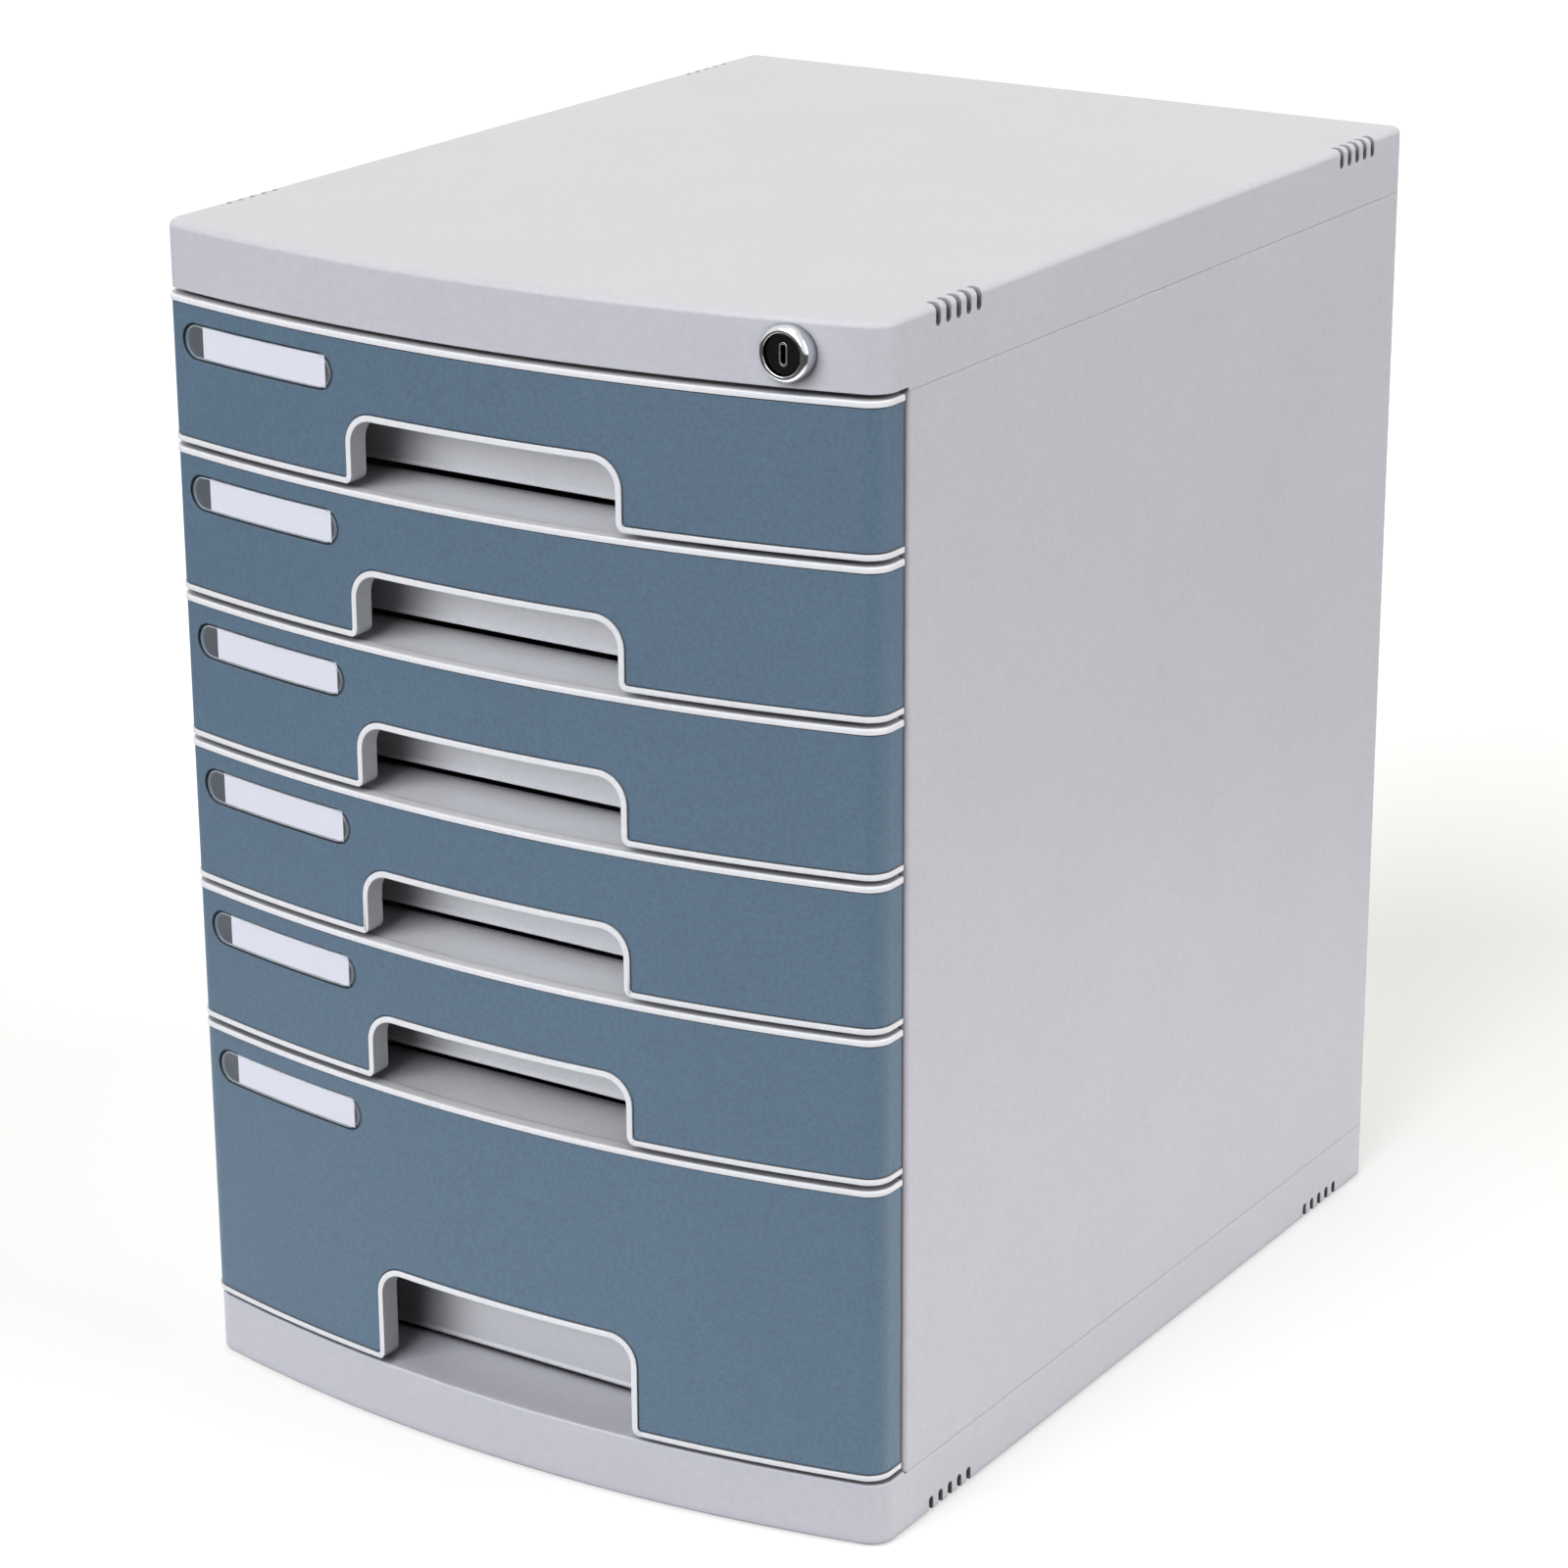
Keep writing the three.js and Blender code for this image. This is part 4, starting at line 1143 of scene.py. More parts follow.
@dataclass(frozen=True)
class CornerGrooves:
    """Five upright grooves near each corner, cut into the cover and the base."""

    count: int = 5
    pitch: float = 6.5
    width: float = 3.0
    depth: float = 2.8
    length: float = 7.6
    top_depth: float = 1.8
    pad_thickness: float = 2.0
    top_reach: float = 4.5
    front_inset: float = 65.5
    back_inset: float = 40.0
    clearance: float = 0.02

    @property
    def middles(self) -> tuple[float, float]:
        """The y of the front and the rear row's middle."""
        return (PLAN.front_crown + self.front_inset, PLAN.back - self.back_inset)

    def row(self, section: Point2, depth: float, middle: Point3, turn: Point3 = (0.0, 0.0, 0.0)) -> Form:
        """A row of grooves as a cutter.

        Args:
            section: a groove's width and length.
            depth: its depth, without the overrun.
            middle: the place of the row's middle groove.
            turn: the grooves' turn.

        Returns:
            The cutter.
        """
        start = (middle[0], middle[1] - (self.count - 1) / 2 * self.pitch, middle[2])
        radius = self.width / 2 - self.clearance
        step = (0.0, self.pitch, 0.0)
        return BlockRow(section, depth + PLAN.overrun, radius, start, step, self.count, turn).form()

    def side_row(self, side: int, middle: float, z: Span) -> Form:
        """Upright grooves in one side wall.

        Args:
            side: 1 at the right, -1 at the left.
            middle: the y of the row's middle.
            z: the lower and the upper end.

        Returns:
            The cutter.
        """
        x = PLAN.half - self.depth if side > 0 else -PLAN.half - PLAN.overrun
        section = (self.width, z[1] - z[0])
        return self.row(section, self.depth, (x, middle, sum(z) / 2), (QUARTER, 0.0, QUARTER))

    def top_row(self, side: int, middle: float) -> Form:
        """Grooves over one top edge.

        Args:
            side: 1 at the right, -1 at the left.
            middle: the y of the row's middle.

        Returns:
            The cutter.
        """
        reach = self.top_reach + PLAN.overrun
        x = side * (PLAN.half - self.top_reach + reach / 2)
        return self.row((reach, self.width), self.top_depth, (x, middle, PLAN.top - self.top_depth))

    def cut(self, form: Form, pads: Span, span: Span, over_top: bool) -> Form:
        """Cuts the grooves into a shell, with a thicker wall behind each row.

        Args:
            form: the shell.
            pads: the lower and the upper end of the thicker walls.
            span: the lower and the upper end of the grooves.
            over_top: True where they run on over the top edge.

        Returns:
            The grooved shell.
        """
        reach = ((self.count - 1) * self.pitch + self.width) / 2 + PLAN.skin
        x = (PLAN.inner - self.pad_thickness, PLAN.inner + PLAN.weld)
        blocks = [Form.pair(x, (middle - reach, middle + reach), pads) for middle in self.middles]
        form = form.join(Form.joined(blocks))
        for side in (1, -1):
            for middle in self.middles:
                form = form.cut(self.side_row(side, middle, span))
                if over_top:
                    form = form.cut(self.top_row(side, middle))
        return form


# Sub-assemblies


@dataclass(frozen=True)
class TopCover:
    """The cover: a shell with a rounded top edge, ribs, a lock boss and corner grooves."""

    top_radius: float = 2.5
    edge_steps: int = 6
    rib_height: float = 4.0
    rib_thickness: float = 2.0
    rib_step_share: float = 0.25
    rib_count: int = 3
    rib_front: float = -150.0
    boss_radius: float = 10.5
    boss_depth: float = 4.2
    bore_radius: float = 7.8
    grooves: CornerGrooves = CornerGrooves()

    def form(self, lock: "Lock") -> Form:
        """Builds the cover with its ribs, its grooves, and the boss and the bore for its lock.

        Args:
            lock: the lock that the cover carries.

        Returns:
            The solid.
        """
        levels = rounded_levels((PLAN.cover_side, PLAN.top), 0.0, self.top_radius, self.edge_steps)
        cover = Form.stacked(levels, PLAN.shell_outline)
        ceiling = PLAN.top - PLAN.skin
        below = PLAN.cover_side - PLAN.overrun
        cover = cover.cut(PLAN.shell(PLAN.skin, (below, ceiling)))
        rib_back = PLAN.back - PLAN.skin + PLAN.weld
        step = self.rib_step_share * PLAN.width
        first = -step * (self.rib_count - 1) / 2
        ribs = BlockRow(
            section=(self.rib_thickness, rib_back - self.rib_front),
            height=self.rib_height + PLAN.weld,
            corner_radius=0.0,
            start=(first, (self.rib_front + rib_back) / 2, ceiling - self.rib_height),
            step=(step, 0.0, 0.0),
            count=self.rib_count,
        )
        cover = cover.join(ribs.form())
        boss_back = lock.wall + PLAN.skin + self.boss_depth
        inside = PLAN.shell(PLAN.skin - PLAN.weld, (PLAN.cover_front, ceiling + PLAN.weld))
        cover = cover.join(lock.bar(self.boss_radius, (lock.wall, boss_back)).meet(inside))
        over_drawers = (PLAN.front_crown, PLAN.panel_front)
        cover = cover.cut(Form.block(PLAN.wide, over_drawers, (below, PLAN.cover_front)))
        cover = cover.cut(lock.bar(self.bore_radius, (PLAN.front_crown, boss_back + PLAN.overrun)))
        groove_end = PLAN.top - self.grooves.length
        pads = (groove_end - PLAN.skin, ceiling + PLAN.weld)
        return self.grooves.cut(cover, pads, (groove_end, PLAN.top + PLAN.overrun), True)

    def build(self, lock: "Lock") -> None:
        """Makes the cover's piece."""
        Part("cover_shell", CASING, "cabinet", ("top_cover",), "casing").make(self.form(lock))


@dataclass(frozen=True)
class Base:
    """The base: a tray-like shell with a bowed front, ribs, foot sockets and corner grooves."""

    bottom: float = 1.0
    edge_radius: float = 0.8
    edge_steps: int = 4
    rib_height: float = 6.0
    rib_thickness: float = 2.0
    rib_x_shares: tuple[float, ...] = (-0.25, 0.25)
    rib_y_shares: tuple[float, ...] = (-0.22, 0.1)
    foot_radius: float = 8.7
    foot_edge: float = 0.9
    foot_edge_steps: int = 6
    socket_radius: float = 9.0
    socket_depth: float = 1.5
    boss_radius: float = 11.0
    foot_inset_x: float = 22.0
    foot_inset_front: float = 51.0
    foot_inset_back: float = 30.0
    round_steps: int = 48
    grooves: CornerGrooves = CornerGrooves()

    def feet(self) -> dict[str, Point2]:
        """Places the feet.

        Returns:
            Each foot's name and place.
        """
        rows = {"front": PLAN.front_crown + self.foot_inset_front, "rear": PLAN.back - self.foot_inset_back}
        sides = {"left": self.foot_inset_x - PLAN.half, "right": PLAN.half - self.foot_inset_x}
        return {f"foot_{row}_{side}": (x, y) for row, y in rows.items() for side, x in sides.items()}

    def circle(self, place: Point2, radius: float) -> list[Point2]:
        """Gives a circle about a foot's place."""
        return arc(place, radius, 0, math.tau, self.round_steps)[:-1]

    def post(self, radius: float, place: Point2, z: Span) -> Form:
        """Gives an upright round bar."""
        return Form.prism(self.circle(place, radius), z, Axis.UP)

    def form(self) -> Form:
        """Builds the base with its ribs, its grooves and the sockets for its feet.

        Returns:
            The solid.
        """
        top = PLAN.base_front_height
        above = top + PLAN.overrun
        below = self.bottom - PLAN.overrun
        under_floor = PLAN.floor - PLAN.skin
        behind = (PLAN.panel_front, PLAN.back + PLAN.overrun)
        levels = rounded_levels((self.bottom, top), self.edge_radius, self.edge_radius, self.edge_steps)
        shell = Form.stacked(levels, PLAN.shell_outline)
        side_step = Form.block(PLAN.wide, behind, (PLAN.base_side, above))
        front = (PLAN.front_crown - PLAN.overrun, PLAN.panel_front + PLAN.skin)
        pocket = PLAN.shell(PLAN.skin, (PLAN.floor, above))
        pocket = pocket.cut(Form.block(PLAN.wide, front, (0.0, above + PLAN.overrun)))
        hollow = PLAN.shell(PLAN.skin, (below, under_floor))
        front_hollow = PLAN.shell(PLAN.skin, (below, top - PLAN.skin))
        front_hollow = front_hollow.cut(Form.block(PLAN.wide, behind, (-2 * PLAN.overrun, top)))
        for cutter in (side_step, pocket, hollow, front_hollow):
            shell = shell.cut(cutter)
        rib_z = (under_floor - self.rib_height, under_floor + PLAN.weld)
        rib_y = (PLAN.panel_front - PLAN.weld, PLAN.back - PLAN.skin + PLAN.weld)
        reach = PLAN.inner + PLAN.weld
        half_rib = self.rib_thickness / 2
        for x in [share * PLAN.width for share in self.rib_x_shares]:
            shell = shell.join(Form.block((x - half_rib, x + half_rib), rib_y, rib_z))
        for y in [share * PLAN.depth for share in self.rib_y_shares]:
            shell = shell.join(Form.block((-reach, reach), (y - half_rib, y + half_rib), rib_z))
        socket = self.bottom + self.socket_depth
        for place in self.feet().values():
            shell = shell.join(self.post(self.boss_radius, place, (self.bottom, PLAN.floor - PLAN.weld)))
        for place in self.feet().values():
            shell = shell.cut(self.post(self.socket_radius, place, (below, socket)))
        span = (below, self.grooves.length - self.bottom)
        return self.grooves.cut(shell, (self.bottom, span[1] + PLAN.skin), span, False)

    def foot_form(self, place: Point2) -> Form:
        """Builds a foot with a rounded lower edge.

        Args:
            place: the foot's middle.

        Returns:
            The solid.
        """
        top = self.bottom + self.socket_depth - PLAN.seat_gap
        levels = [*rounding(self.foot_edge, self.foot_edge_steps), (0.0, top)]
        return Form.stacked(levels, lambda inset: self.circle(place, self.foot_radius - inset))

    def build(self) -> None:
        """Makes the base's piece and its feet."""
        Part("base_shell", CASING, "cabinet", ("base",), "casing").make(self.form())
        for name, place in self.feet().items():
            Part(f"{name}_pad", RUBBER, "cabinet", (name,), "foot_rubber").make(self.foot_form(place))


@dataclass(frozen=True)
class SidePanels:
    """The two side panels with their returns, tongues, drawer rails and stops."""

    front_radius: float = 3.0
    front_return: float = 5.8
    front_return_thickness: float = 2.3
    rear_return: float = 12.0
    tongue_thickness: float = 2.2
    tongue_rise: float = 6.0
    tongue_set_back: float = 16.0
    rail_reach: float = 7.3
    rail_thickness: float = 2.2
    rail_y: Span = (-150.0, 190.0)
    rail_round: float = 1.5
    rail_drop: float = 8.7  # carrying rail's top below the bay's upper line
    upper_rail_drop: float = 5.7  # upper rail's lower face below the line
    stop_y: Span = (-147.0, -144.0)
    stop_height: float = 11.0
    stop_round: float = 0.4
    seam: float = 0.08  # shown over and under a panel, where it is pressed home
    guide_rib_x: Span = (142.7, 148.0)
    guide_rib_y: Span = (-155.1, -153.1)
    guide_lip_x: Span = (142.7, 143.7)
    guide_lip_y: Span = (-160.0, -153.1)
    guide_height: float = 5.0
    guide_lift: float = 0.2  # guide's top over the bay's upper line
    corner_steps: int = 8

    def plan(self) -> list[Point2]:
        """The right panel's plan, with its front and rear returns.

        Returns:
            The outline's points.
        """
        half, front, back = PLAN.half, PLAN.panel_front, PLAN.back
        return_x, rear_x = half - self.front_return, half - self.rear_return
        r, rear_r = self.front_radius, PLAN.rear_corner_radius
        return [
            (return_x, front),
            *arc((half - r, front + r), r, -QUARTER, 0, self.corner_steps),
            *arc((half - rear_r, back - rear_r), rear_r, 0, QUARTER, self.corner_steps),
            (rear_x, back),
            (rear_x, back - PLAN.skin),
            (PLAN.inner, back - PLAN.skin),
            (PLAN.inner, front + self.front_return_thickness),
            (return_x, front + self.front_return_thickness),
        ]

    def column(self, x: Span, y: Span, low: float, height: float, radius: float) -> Form:
        """Like blocks above each other, one to a bay.

        Args:
            x: their left and right face.
            y: their front and rear face.
            low: the lowest one's lower face.
            height: their height.
            radius: their upright edges' radius.

        Returns:
            The blocks as one solid.
        """
        start = (sum(x) / 2, sum(y) / 2, low)
        step = (0.0, 0.0, PLAN.shallow_pitch)
        count = PLAN.shallow_count + 1
        return BlockRow((x[1] - x[0], y[1] - y[0]), height, radius, start, step, count).form()

    def form(self) -> Form:
        """Builds the right panel, without the lock bar's guides.

        Returns:
            The solid.
        """
        z = (PLAN.base_side + self.seam, PLAN.cover_side - self.seam)
        tongue = (PLAN.inner - PLAN.seat_gap - self.tongue_thickness, PLAN.inner - PLAN.seat_gap)
        root = (tongue[0], PLAN.inner + PLAN.weld)
        y = (PLAN.panel_front + self.tongue_set_back, PLAN.back - self.tongue_set_back)
        line = PLAN.shallow_line
        carrying = line - self.rail_drop - self.rail_thickness
        rail_x = (PLAN.inner - self.rail_reach, PLAN.inner + PLAN.weld)
        stop_x = (rail_x[0] + PLAN.seat_gap, rail_x[1])
        stop_low = carrying + PLAN.weld - self.stop_height
        upper = line - self.upper_rail_drop
        pieces = [
            Form.prism(self.plan(), z, Axis.UP),
            Form.block(tongue, y, (z[1] - PLAN.weld, PLAN.cover_side + self.tongue_rise)),
            Form.block(root, y, (z[1] - 2 * self.tongue_rise, z[1])),
            Form.block(tongue, y, (PLAN.floor + PLAN.seat_gap, z[0] + PLAN.weld)),
            Form.block(root, y, (z[0], z[0] + 2 * self.tongue_rise)),
            self.column(rail_x, self.rail_y, carrying, self.rail_thickness, self.rail_round),
            self.column(rail_x, self.rail_y, upper, self.rail_thickness, self.rail_round),
            self.column(stop_x, self.stop_y, stop_low, self.stop_height, self.stop_round),
        ]
        return Form.joined(pieces)

    def guides(self) -> Form:
        """Builds the hooks that hold the lock bar, one to every second bay from the deep one up.

        Returns:
            The hooks as one solid.
        """
        hooks = []
        for i in range(PLAN.shallow_count // 2 + 1):
            top = PLAN.shallow_line + 2 * i * PLAN.shallow_pitch + self.guide_lift
            z = (top - self.guide_height, top)
            hooks.append(Form.block(self.guide_rib_x, self.guide_rib_y, z))
            hooks.append(Form.block(self.guide_lip_x, self.guide_lip_y, z))
        return Form.joined(hooks)

    def build(self) -> None:
        """Makes both panels' pieces and dresses the back panel."""
        plain = self.form()
        for side, form in {"right": plain.join(self.guides()), "left": plain.mirrored()}.items():
            Part(f"{side}_panel_shell", CASING, "cabinet", (f"{side}_side_panel",), "casing").make(form)
        dress_node("back_panel", CASING)


@dataclass(frozen=True)
class Drawer:
    """A drawer: its moulded tray with a lipped front, its fascia, label card and label window.

    Heights are over the bay's lower line until the finished solids are moved to their bay.
    """

    pitch: float
    grip_height: float
    tray_floor_rise: float
    tray_wall: float = 2.0
    tray_floor: float = 2.0
    tray_half: float = 139.0
    tray_draft: float = 1.4
    tray_floor_radius: float = 4.0
    tray_rear_radius: float = 6.0
    tray_rear_gap: float = 14.0
    tray_rim_drop: float = 6.4
    corner_steps: int = 8
    runner_reach: float = 4.6
    runner_thickness: float = 2.0
    runner_front: float = -150.0
    lip: float = 2.2
    lip_depth: float = 8.5
    lip_edge: float = 0.6
    lip_edge_steps: int = 4
    fascia_drop: float = 0.5
    fascia_thickness: float = 2.2
    fascia_play: float = 0.35
    front_skin: float = 2.0
    ledge_drop: float = 0.4
    wing_thickness: float = 2.4
    bead_proud: float = 0.8
    bead_height: float = 1.5
    rib_thickness: float = 2.0
    rib_set_out: float = 20.0
    rib_pitch: float = 38.0
    rib_count: int = 2
    grip_half: float = 55.5
    grip_radius: float = 9.3
    grip_flare: float = 3.5
    grip_steps: int = 10
    window_centre_x: float = -101.6
    window_width: float = 77.4
    window_height: float = 13.4
    window_below_fascia: float = 13.3
    window_thickness: float = 0.75
    window_play: float = 0.2
    window_seam: float = 0.8  # shown round the window, a touch wider than the fit
    window_end_seam: float = 1.5
    window_steps: int = 12
    pocket_depth: float = 1.6
    card_left: float = -130.0
    card_width: float = 62.5
    card_height: float = 11.5
    card_thickness: float = 0.35
    stop_lug: Span = (106.5, 111.5)
    lock_lug: Span = (-160.3, -155.3)
    lug_height: float = 5.0
    stop_lug_drop: float = 6.6
    stop_lug_reach: float = 3.4
    lock_lug_rise: float = 12.0

    @property
    def z(self) -> Span:
        """The front's lower and upper edge."""
        return (PLAN.drawer_gap / 2, self.pitch - PLAN.drawer_gap / 2)

    @property
    def fascia_back(self) -> float:
        """The depth of the fascia's rear face."""
        return self.fascia_drop + self.fascia_thickness

    @property
    def recess_floor(self) -> float:
        """The recess's depth behind the lips."""
        return self.fascia_back + PLAN.seat_gap

    @property
    def wing_back(self) -> float:
        """The rear face of the front's wings."""
        return PLAN.panel_front - PLAN.seat_gap

    @property
    def tray_front(self) -> float:
        """The tray's front plane."""
        return self.wing_back - PLAN.seat_gap / 2

    @property
    def tray_back(self) -> float:
        """The tray's rear plane."""
        return PLAN.back - self.tray_rear_gap

    @property
    def rim(self) -> float:
        """The tray's rim."""
        return self.pitch - self.tray_rim_drop

    @property
    def window_z(self) -> float:
        """The label window's middle height."""
        return self.z[1] - self.lip - self.window_below_fascia

    @property
    def cut_y(self) -> Span:
        """A span of y through the front's skin and lips, for cutters."""
        return PLAN.grown((PLAN.front_crown, PLAN.front_crown + 2 * self.lip_depth))

    def front_outline(self, inset: float, back: float) -> list[Point2]:
        """Gives the front's outline, set in."""
        return PLAN.outline(PLAN.front_crown, PLAN.front_half, inset, back)

    def front_plan(self, inset: float, back: float, z: Span) -> Form:
        """Gives the front's plan, set in, from one height to another."""
        return Form.prism(self.front_outline(inset, back), z, Axis.UP)

    def band(self, start: float, end: float, back: float, z: Span) -> Form:
        """Gives a wall that follows the bow, between two insets."""
        inside = self.front_plan(end, back + PLAN.overrun, PLAN.grown(z))
        return self.front_plan(start, back, z).cut(inside)

    def edged_band(self, end: float, back: float, z: Span) -> Form:
        """A wall that follows the bow, with its upper and lower front edges rounded.

        Args:
            end: how deep the wall is.
            back: the y of its ends.
            z: its lower and upper plane.

        Returns:
            The wall.
        """
        levels = rounded_levels(z, self.lip_edge, self.lip_edge, self.lip_edge_steps)
        wall = Form.stacked(levels, lambda inset: self.front_outline(inset, back))
        return wall.cut(self.front_plan(end, back + PLAN.overrun, PLAN.grown(z)))

    def grip(self, offset: float) -> Form:
        """The grip cut-out, arched above and flared at its foot.

        Args:
            offset: how far it is grown outwards.

        Returns:
            The cutter.
        """
        side = self.grip_half + offset
        top = self.grip_height + offset
        flare = self.grip_flare - offset
        foot = side + flare
        low = PLAN.drawer_gap / 2 + offset
        steps = self.grip_steps
        outline = [
            (-foot, low - PLAN.overrun),
            (foot, low - PLAN.overrun),
            *arc((foot, low + flare), flare, 3 * QUARTER, 2 * QUARTER, steps),
            *shoulders(side, top, self.grip_radius + offset, steps),
            *arc((-foot, low + flare), flare, 0, -QUARTER, steps),
        ]
        return Form.prism(outline, self.cut_y, Axis.BACK)

    def front(self) -> Form:
        """Builds the lipped front with its ledge, wings and ribs.

        Returns:
            The solid.
        """
        z, back, floor = self.z, PLAN.front_end, self.recess_floor
        skin_back = floor + self.front_skin
        recess_z = (z[0] + self.lip, z[1] - self.lip)
        ledge_top = z[1] - self.ledge_drop
        ledge_z = (ledge_top - self.lip, ledge_top)
        lips = self.edged_band(skin_back, back, z)
        inner = self.band(floor, skin_back, self.wing_back, z)
        recess = self.band(-PLAN.overrun, floor, back + PLAN.overrun, recess_z).cut(self.grip(self.lip))
        grip_lip = self.edged_band(self.lip_depth, back, z).meet(self.grip(self.lip))
        low_lip = self.edged_band(self.lip_depth, back, (z[0], recess_z[0]))
        over_tray = (back - PLAN.weld, self.tray_front + self.tray_wall)
        ledge = self.front_plan(floor, self.wing_back, ledge_z)
        ledge = ledge.join(Form.block((-self.tray_half, self.tray_half), over_tray, ledge_z))
        wing_x = (self.tray_half - self.tray_wall, PLAN.front_half - floor)
        wings = Form.pair(wing_x, (self.wing_back - self.wing_thickness, self.wing_back), z)
        front = lips.join(inner).cut(recess).join(grip_lip).join(low_lip).cut(self.grip(0.0))
        return front.join(ledge).join(wings).join(self.ribs((recess_z[0], ledge_top)))

    def ribs(self, z: Span) -> Form:
        """Builds the ribs between the front and the tray, beside the grip.

        Args:
            z: their lower and upper plane.

        Returns:
            The ribs as one solid.
        """
        back = self.tray_front + PLAN.weld
        depth = back - PLAN.front_crown
        rows = [
            BlockRow(
                section=(self.rib_thickness, depth),
                height=z[1] - z[0],
                corner_radius=0.0,
                start=(side * (self.grip_half + self.rib_set_out), PLAN.front_crown + depth / 2, z[0]),
                step=(side * self.rib_pitch, 0.0, 0.0),
                count=self.rib_count,
            ).form()
            for side in (1, -1)
        ]
        inside = self.front_plan(self.recess_floor + self.front_skin - PLAN.weld, back, z)
        return Form.joined(rows).meet(inside)

    def tray_solid(self, inset: float, low: float, high: float) -> Form:
        """The tray's block, drafted, round at the floor and at its rear corners.

        Args:
            inset: how far it is set in by a wall.
            low: its lowest height.
            high: its highest height.

        Returns:
            The solid.
        """
        rim = self.tray_half - inset
        foot = rim - self.tray_draft
        radius = self.tray_floor_radius - inset / 2
        section = [
            *arc((radius - foot, low + radius), radius, 2 * QUARTER, 3 * QUARTER, self.corner_steps),
            *arc((foot - radius, low + radius), radius, 3 * QUARTER, 4 * QUARTER, self.corner_steps),
            (rim, high),
            (-rim, high),
        ]
        front, back = self.tray_front + inset, self.tray_back - inset
        corners = shoulders(rim, back, self.tray_rear_radius - inset, self.corner_steps)
        plan = Form.prism([(-rim, front), (rim, front), *corners], (0.0, high), Axis.UP)
        return Form.prism(section, (self.tray_front, self.tray_back), Axis.BACK).meet(plan)

    def lugs(self, side: float, reach: float, y: Span, low: float, height: float) -> Form:
        """Bars or lugs on the outside of both side walls.

        Args:
            side: the wall's outer face.
            reach: how far they reach past the rim.
            y: their front and rear face.
            low: their lower face.
            height: their height.

        Returns:
            Both as one solid.
        """
        x = (side - self.tray_wall / 2, self.tray_half + reach)
        return Form.pair(x, y, (low, low + height))

    def bead(self) -> Form:
        """Builds the bead with a sloped top along the foot of the tray's front.

        Returns:
            The solid.
        """
        low, high = self.tray_floor_rise, self.tray_floor_rise + self.bead_height
        root, crest = self.tray_front + PLAN.weld, self.tray_front - self.bead_proud
        outline = [
            (root, low),
            (crest, low),
            (crest, high - self.bead_proud),
            (self.tray_front, high),
            (root, high),
        ]
        side = self.tray_half - self.tray_draft - self.tray_floor_radius
        return Form.prism(outline, (-side, side), Axis.ACROSS)

    def tray(self) -> Form:
        """Builds the tray with its runners, its lugs and its front.

        Returns:
            The solid.
        """
        foot = self.tray_half - self.tray_draft
        wall_y = (self.tray_front, self.tray_front + self.tray_wall)
        wall_z = (self.rim - PLAN.weld, self.z[1] - self.ledge_drop - PLAN.weld)
        runner_y = (self.runner_front, self.tray_back - self.tray_rear_radius)
        runner_low = self.rim - self.runner_thickness
        stop_low = self.rim - self.stop_lug_drop - self.lug_height
        floor = self.tray_floor_rise + self.tray_floor
        outer = self.tray_solid(0.0, self.tray_floor_rise, self.rim)
        inner = self.tray_solid(self.tray_wall, floor, self.rim + PLAN.overrun)
        pieces = [
            outer.cut(inner),
            Form.block((-foot, foot), wall_y, wall_z),
            self.bead(),
            self.lugs(self.tray_half, self.runner_reach, runner_y, runner_low, self.runner_thickness),
            self.lugs(self.tray_half, self.stop_lug_reach, self.stop_lug, stop_low, self.lug_height),
            self.lugs(foot, self.runner_reach, self.lock_lug, self.lock_lug_rise, self.lug_height),
            self.front(),
        ]
        return Form.joined(pieces)

    def window_cutter(self, end_seam: float = 0.0, seam: float = 0.0) -> Form:
        """The label window's outline.

        Args:
            end_seam: how much shorter it is at each end.
            seam: how much lower it is at each side.

        Returns:
            The cutter.
        """
        width, height = self.window_width - 2 * end_seam, self.window_height - 2 * seam
        outline = pill((self.window_centre_x, self.window_z), width, height, self.window_steps)
        return Form.prism(outline, self.cut_y, Axis.BACK)

    def fascia(self) -> Form:
        """Builds the fascia that lies between the lips, with the pocket for its label.

        Returns:
            The solid.
        """
        margin = self.lip + self.fascia_play
        z = (self.z[0] + margin, self.z[1] - margin)
        pocket = self.band(0.0, self.fascia_drop + self.pocket_depth, PLAN.front_end, z)
        panel = self.band(self.fascia_drop, self.fascia_back, PLAN.front_end, z).cut(self.grip(margin))
        return panel.cut(pocket.meet(self.window_cutter()))

    def sheet(self, start: float, thickness: float) -> Form:
        """Gives a bowed sheet over the whole bay, at a depth behind the lips."""
        return self.band(start, start + thickness, PLAN.front_end, (0.0, self.pitch))

    def window(self) -> Form:
        """Builds the label window."""
        cutter = self.window_cutter(self.window_end_seam, self.window_seam)
        return self.sheet(self.fascia_drop, self.window_thickness).meet(cutter)

    def card(self) -> Form:
        """Builds the label card in the window's pocket.

        Returns:
            The solid.
        """
        start = self.fascia_drop + self.pocket_depth - self.window_play - self.card_thickness
        x = (self.card_left, self.card_left + self.card_width)
        z = (self.window_z - self.card_height / 2, self.window_z + self.card_height / 2)
        cutter = Form.prism(rectangle(x, z), self.cut_y, Axis.BACK)
        return self.sheet(start, self.card_thickness).meet(cutter)


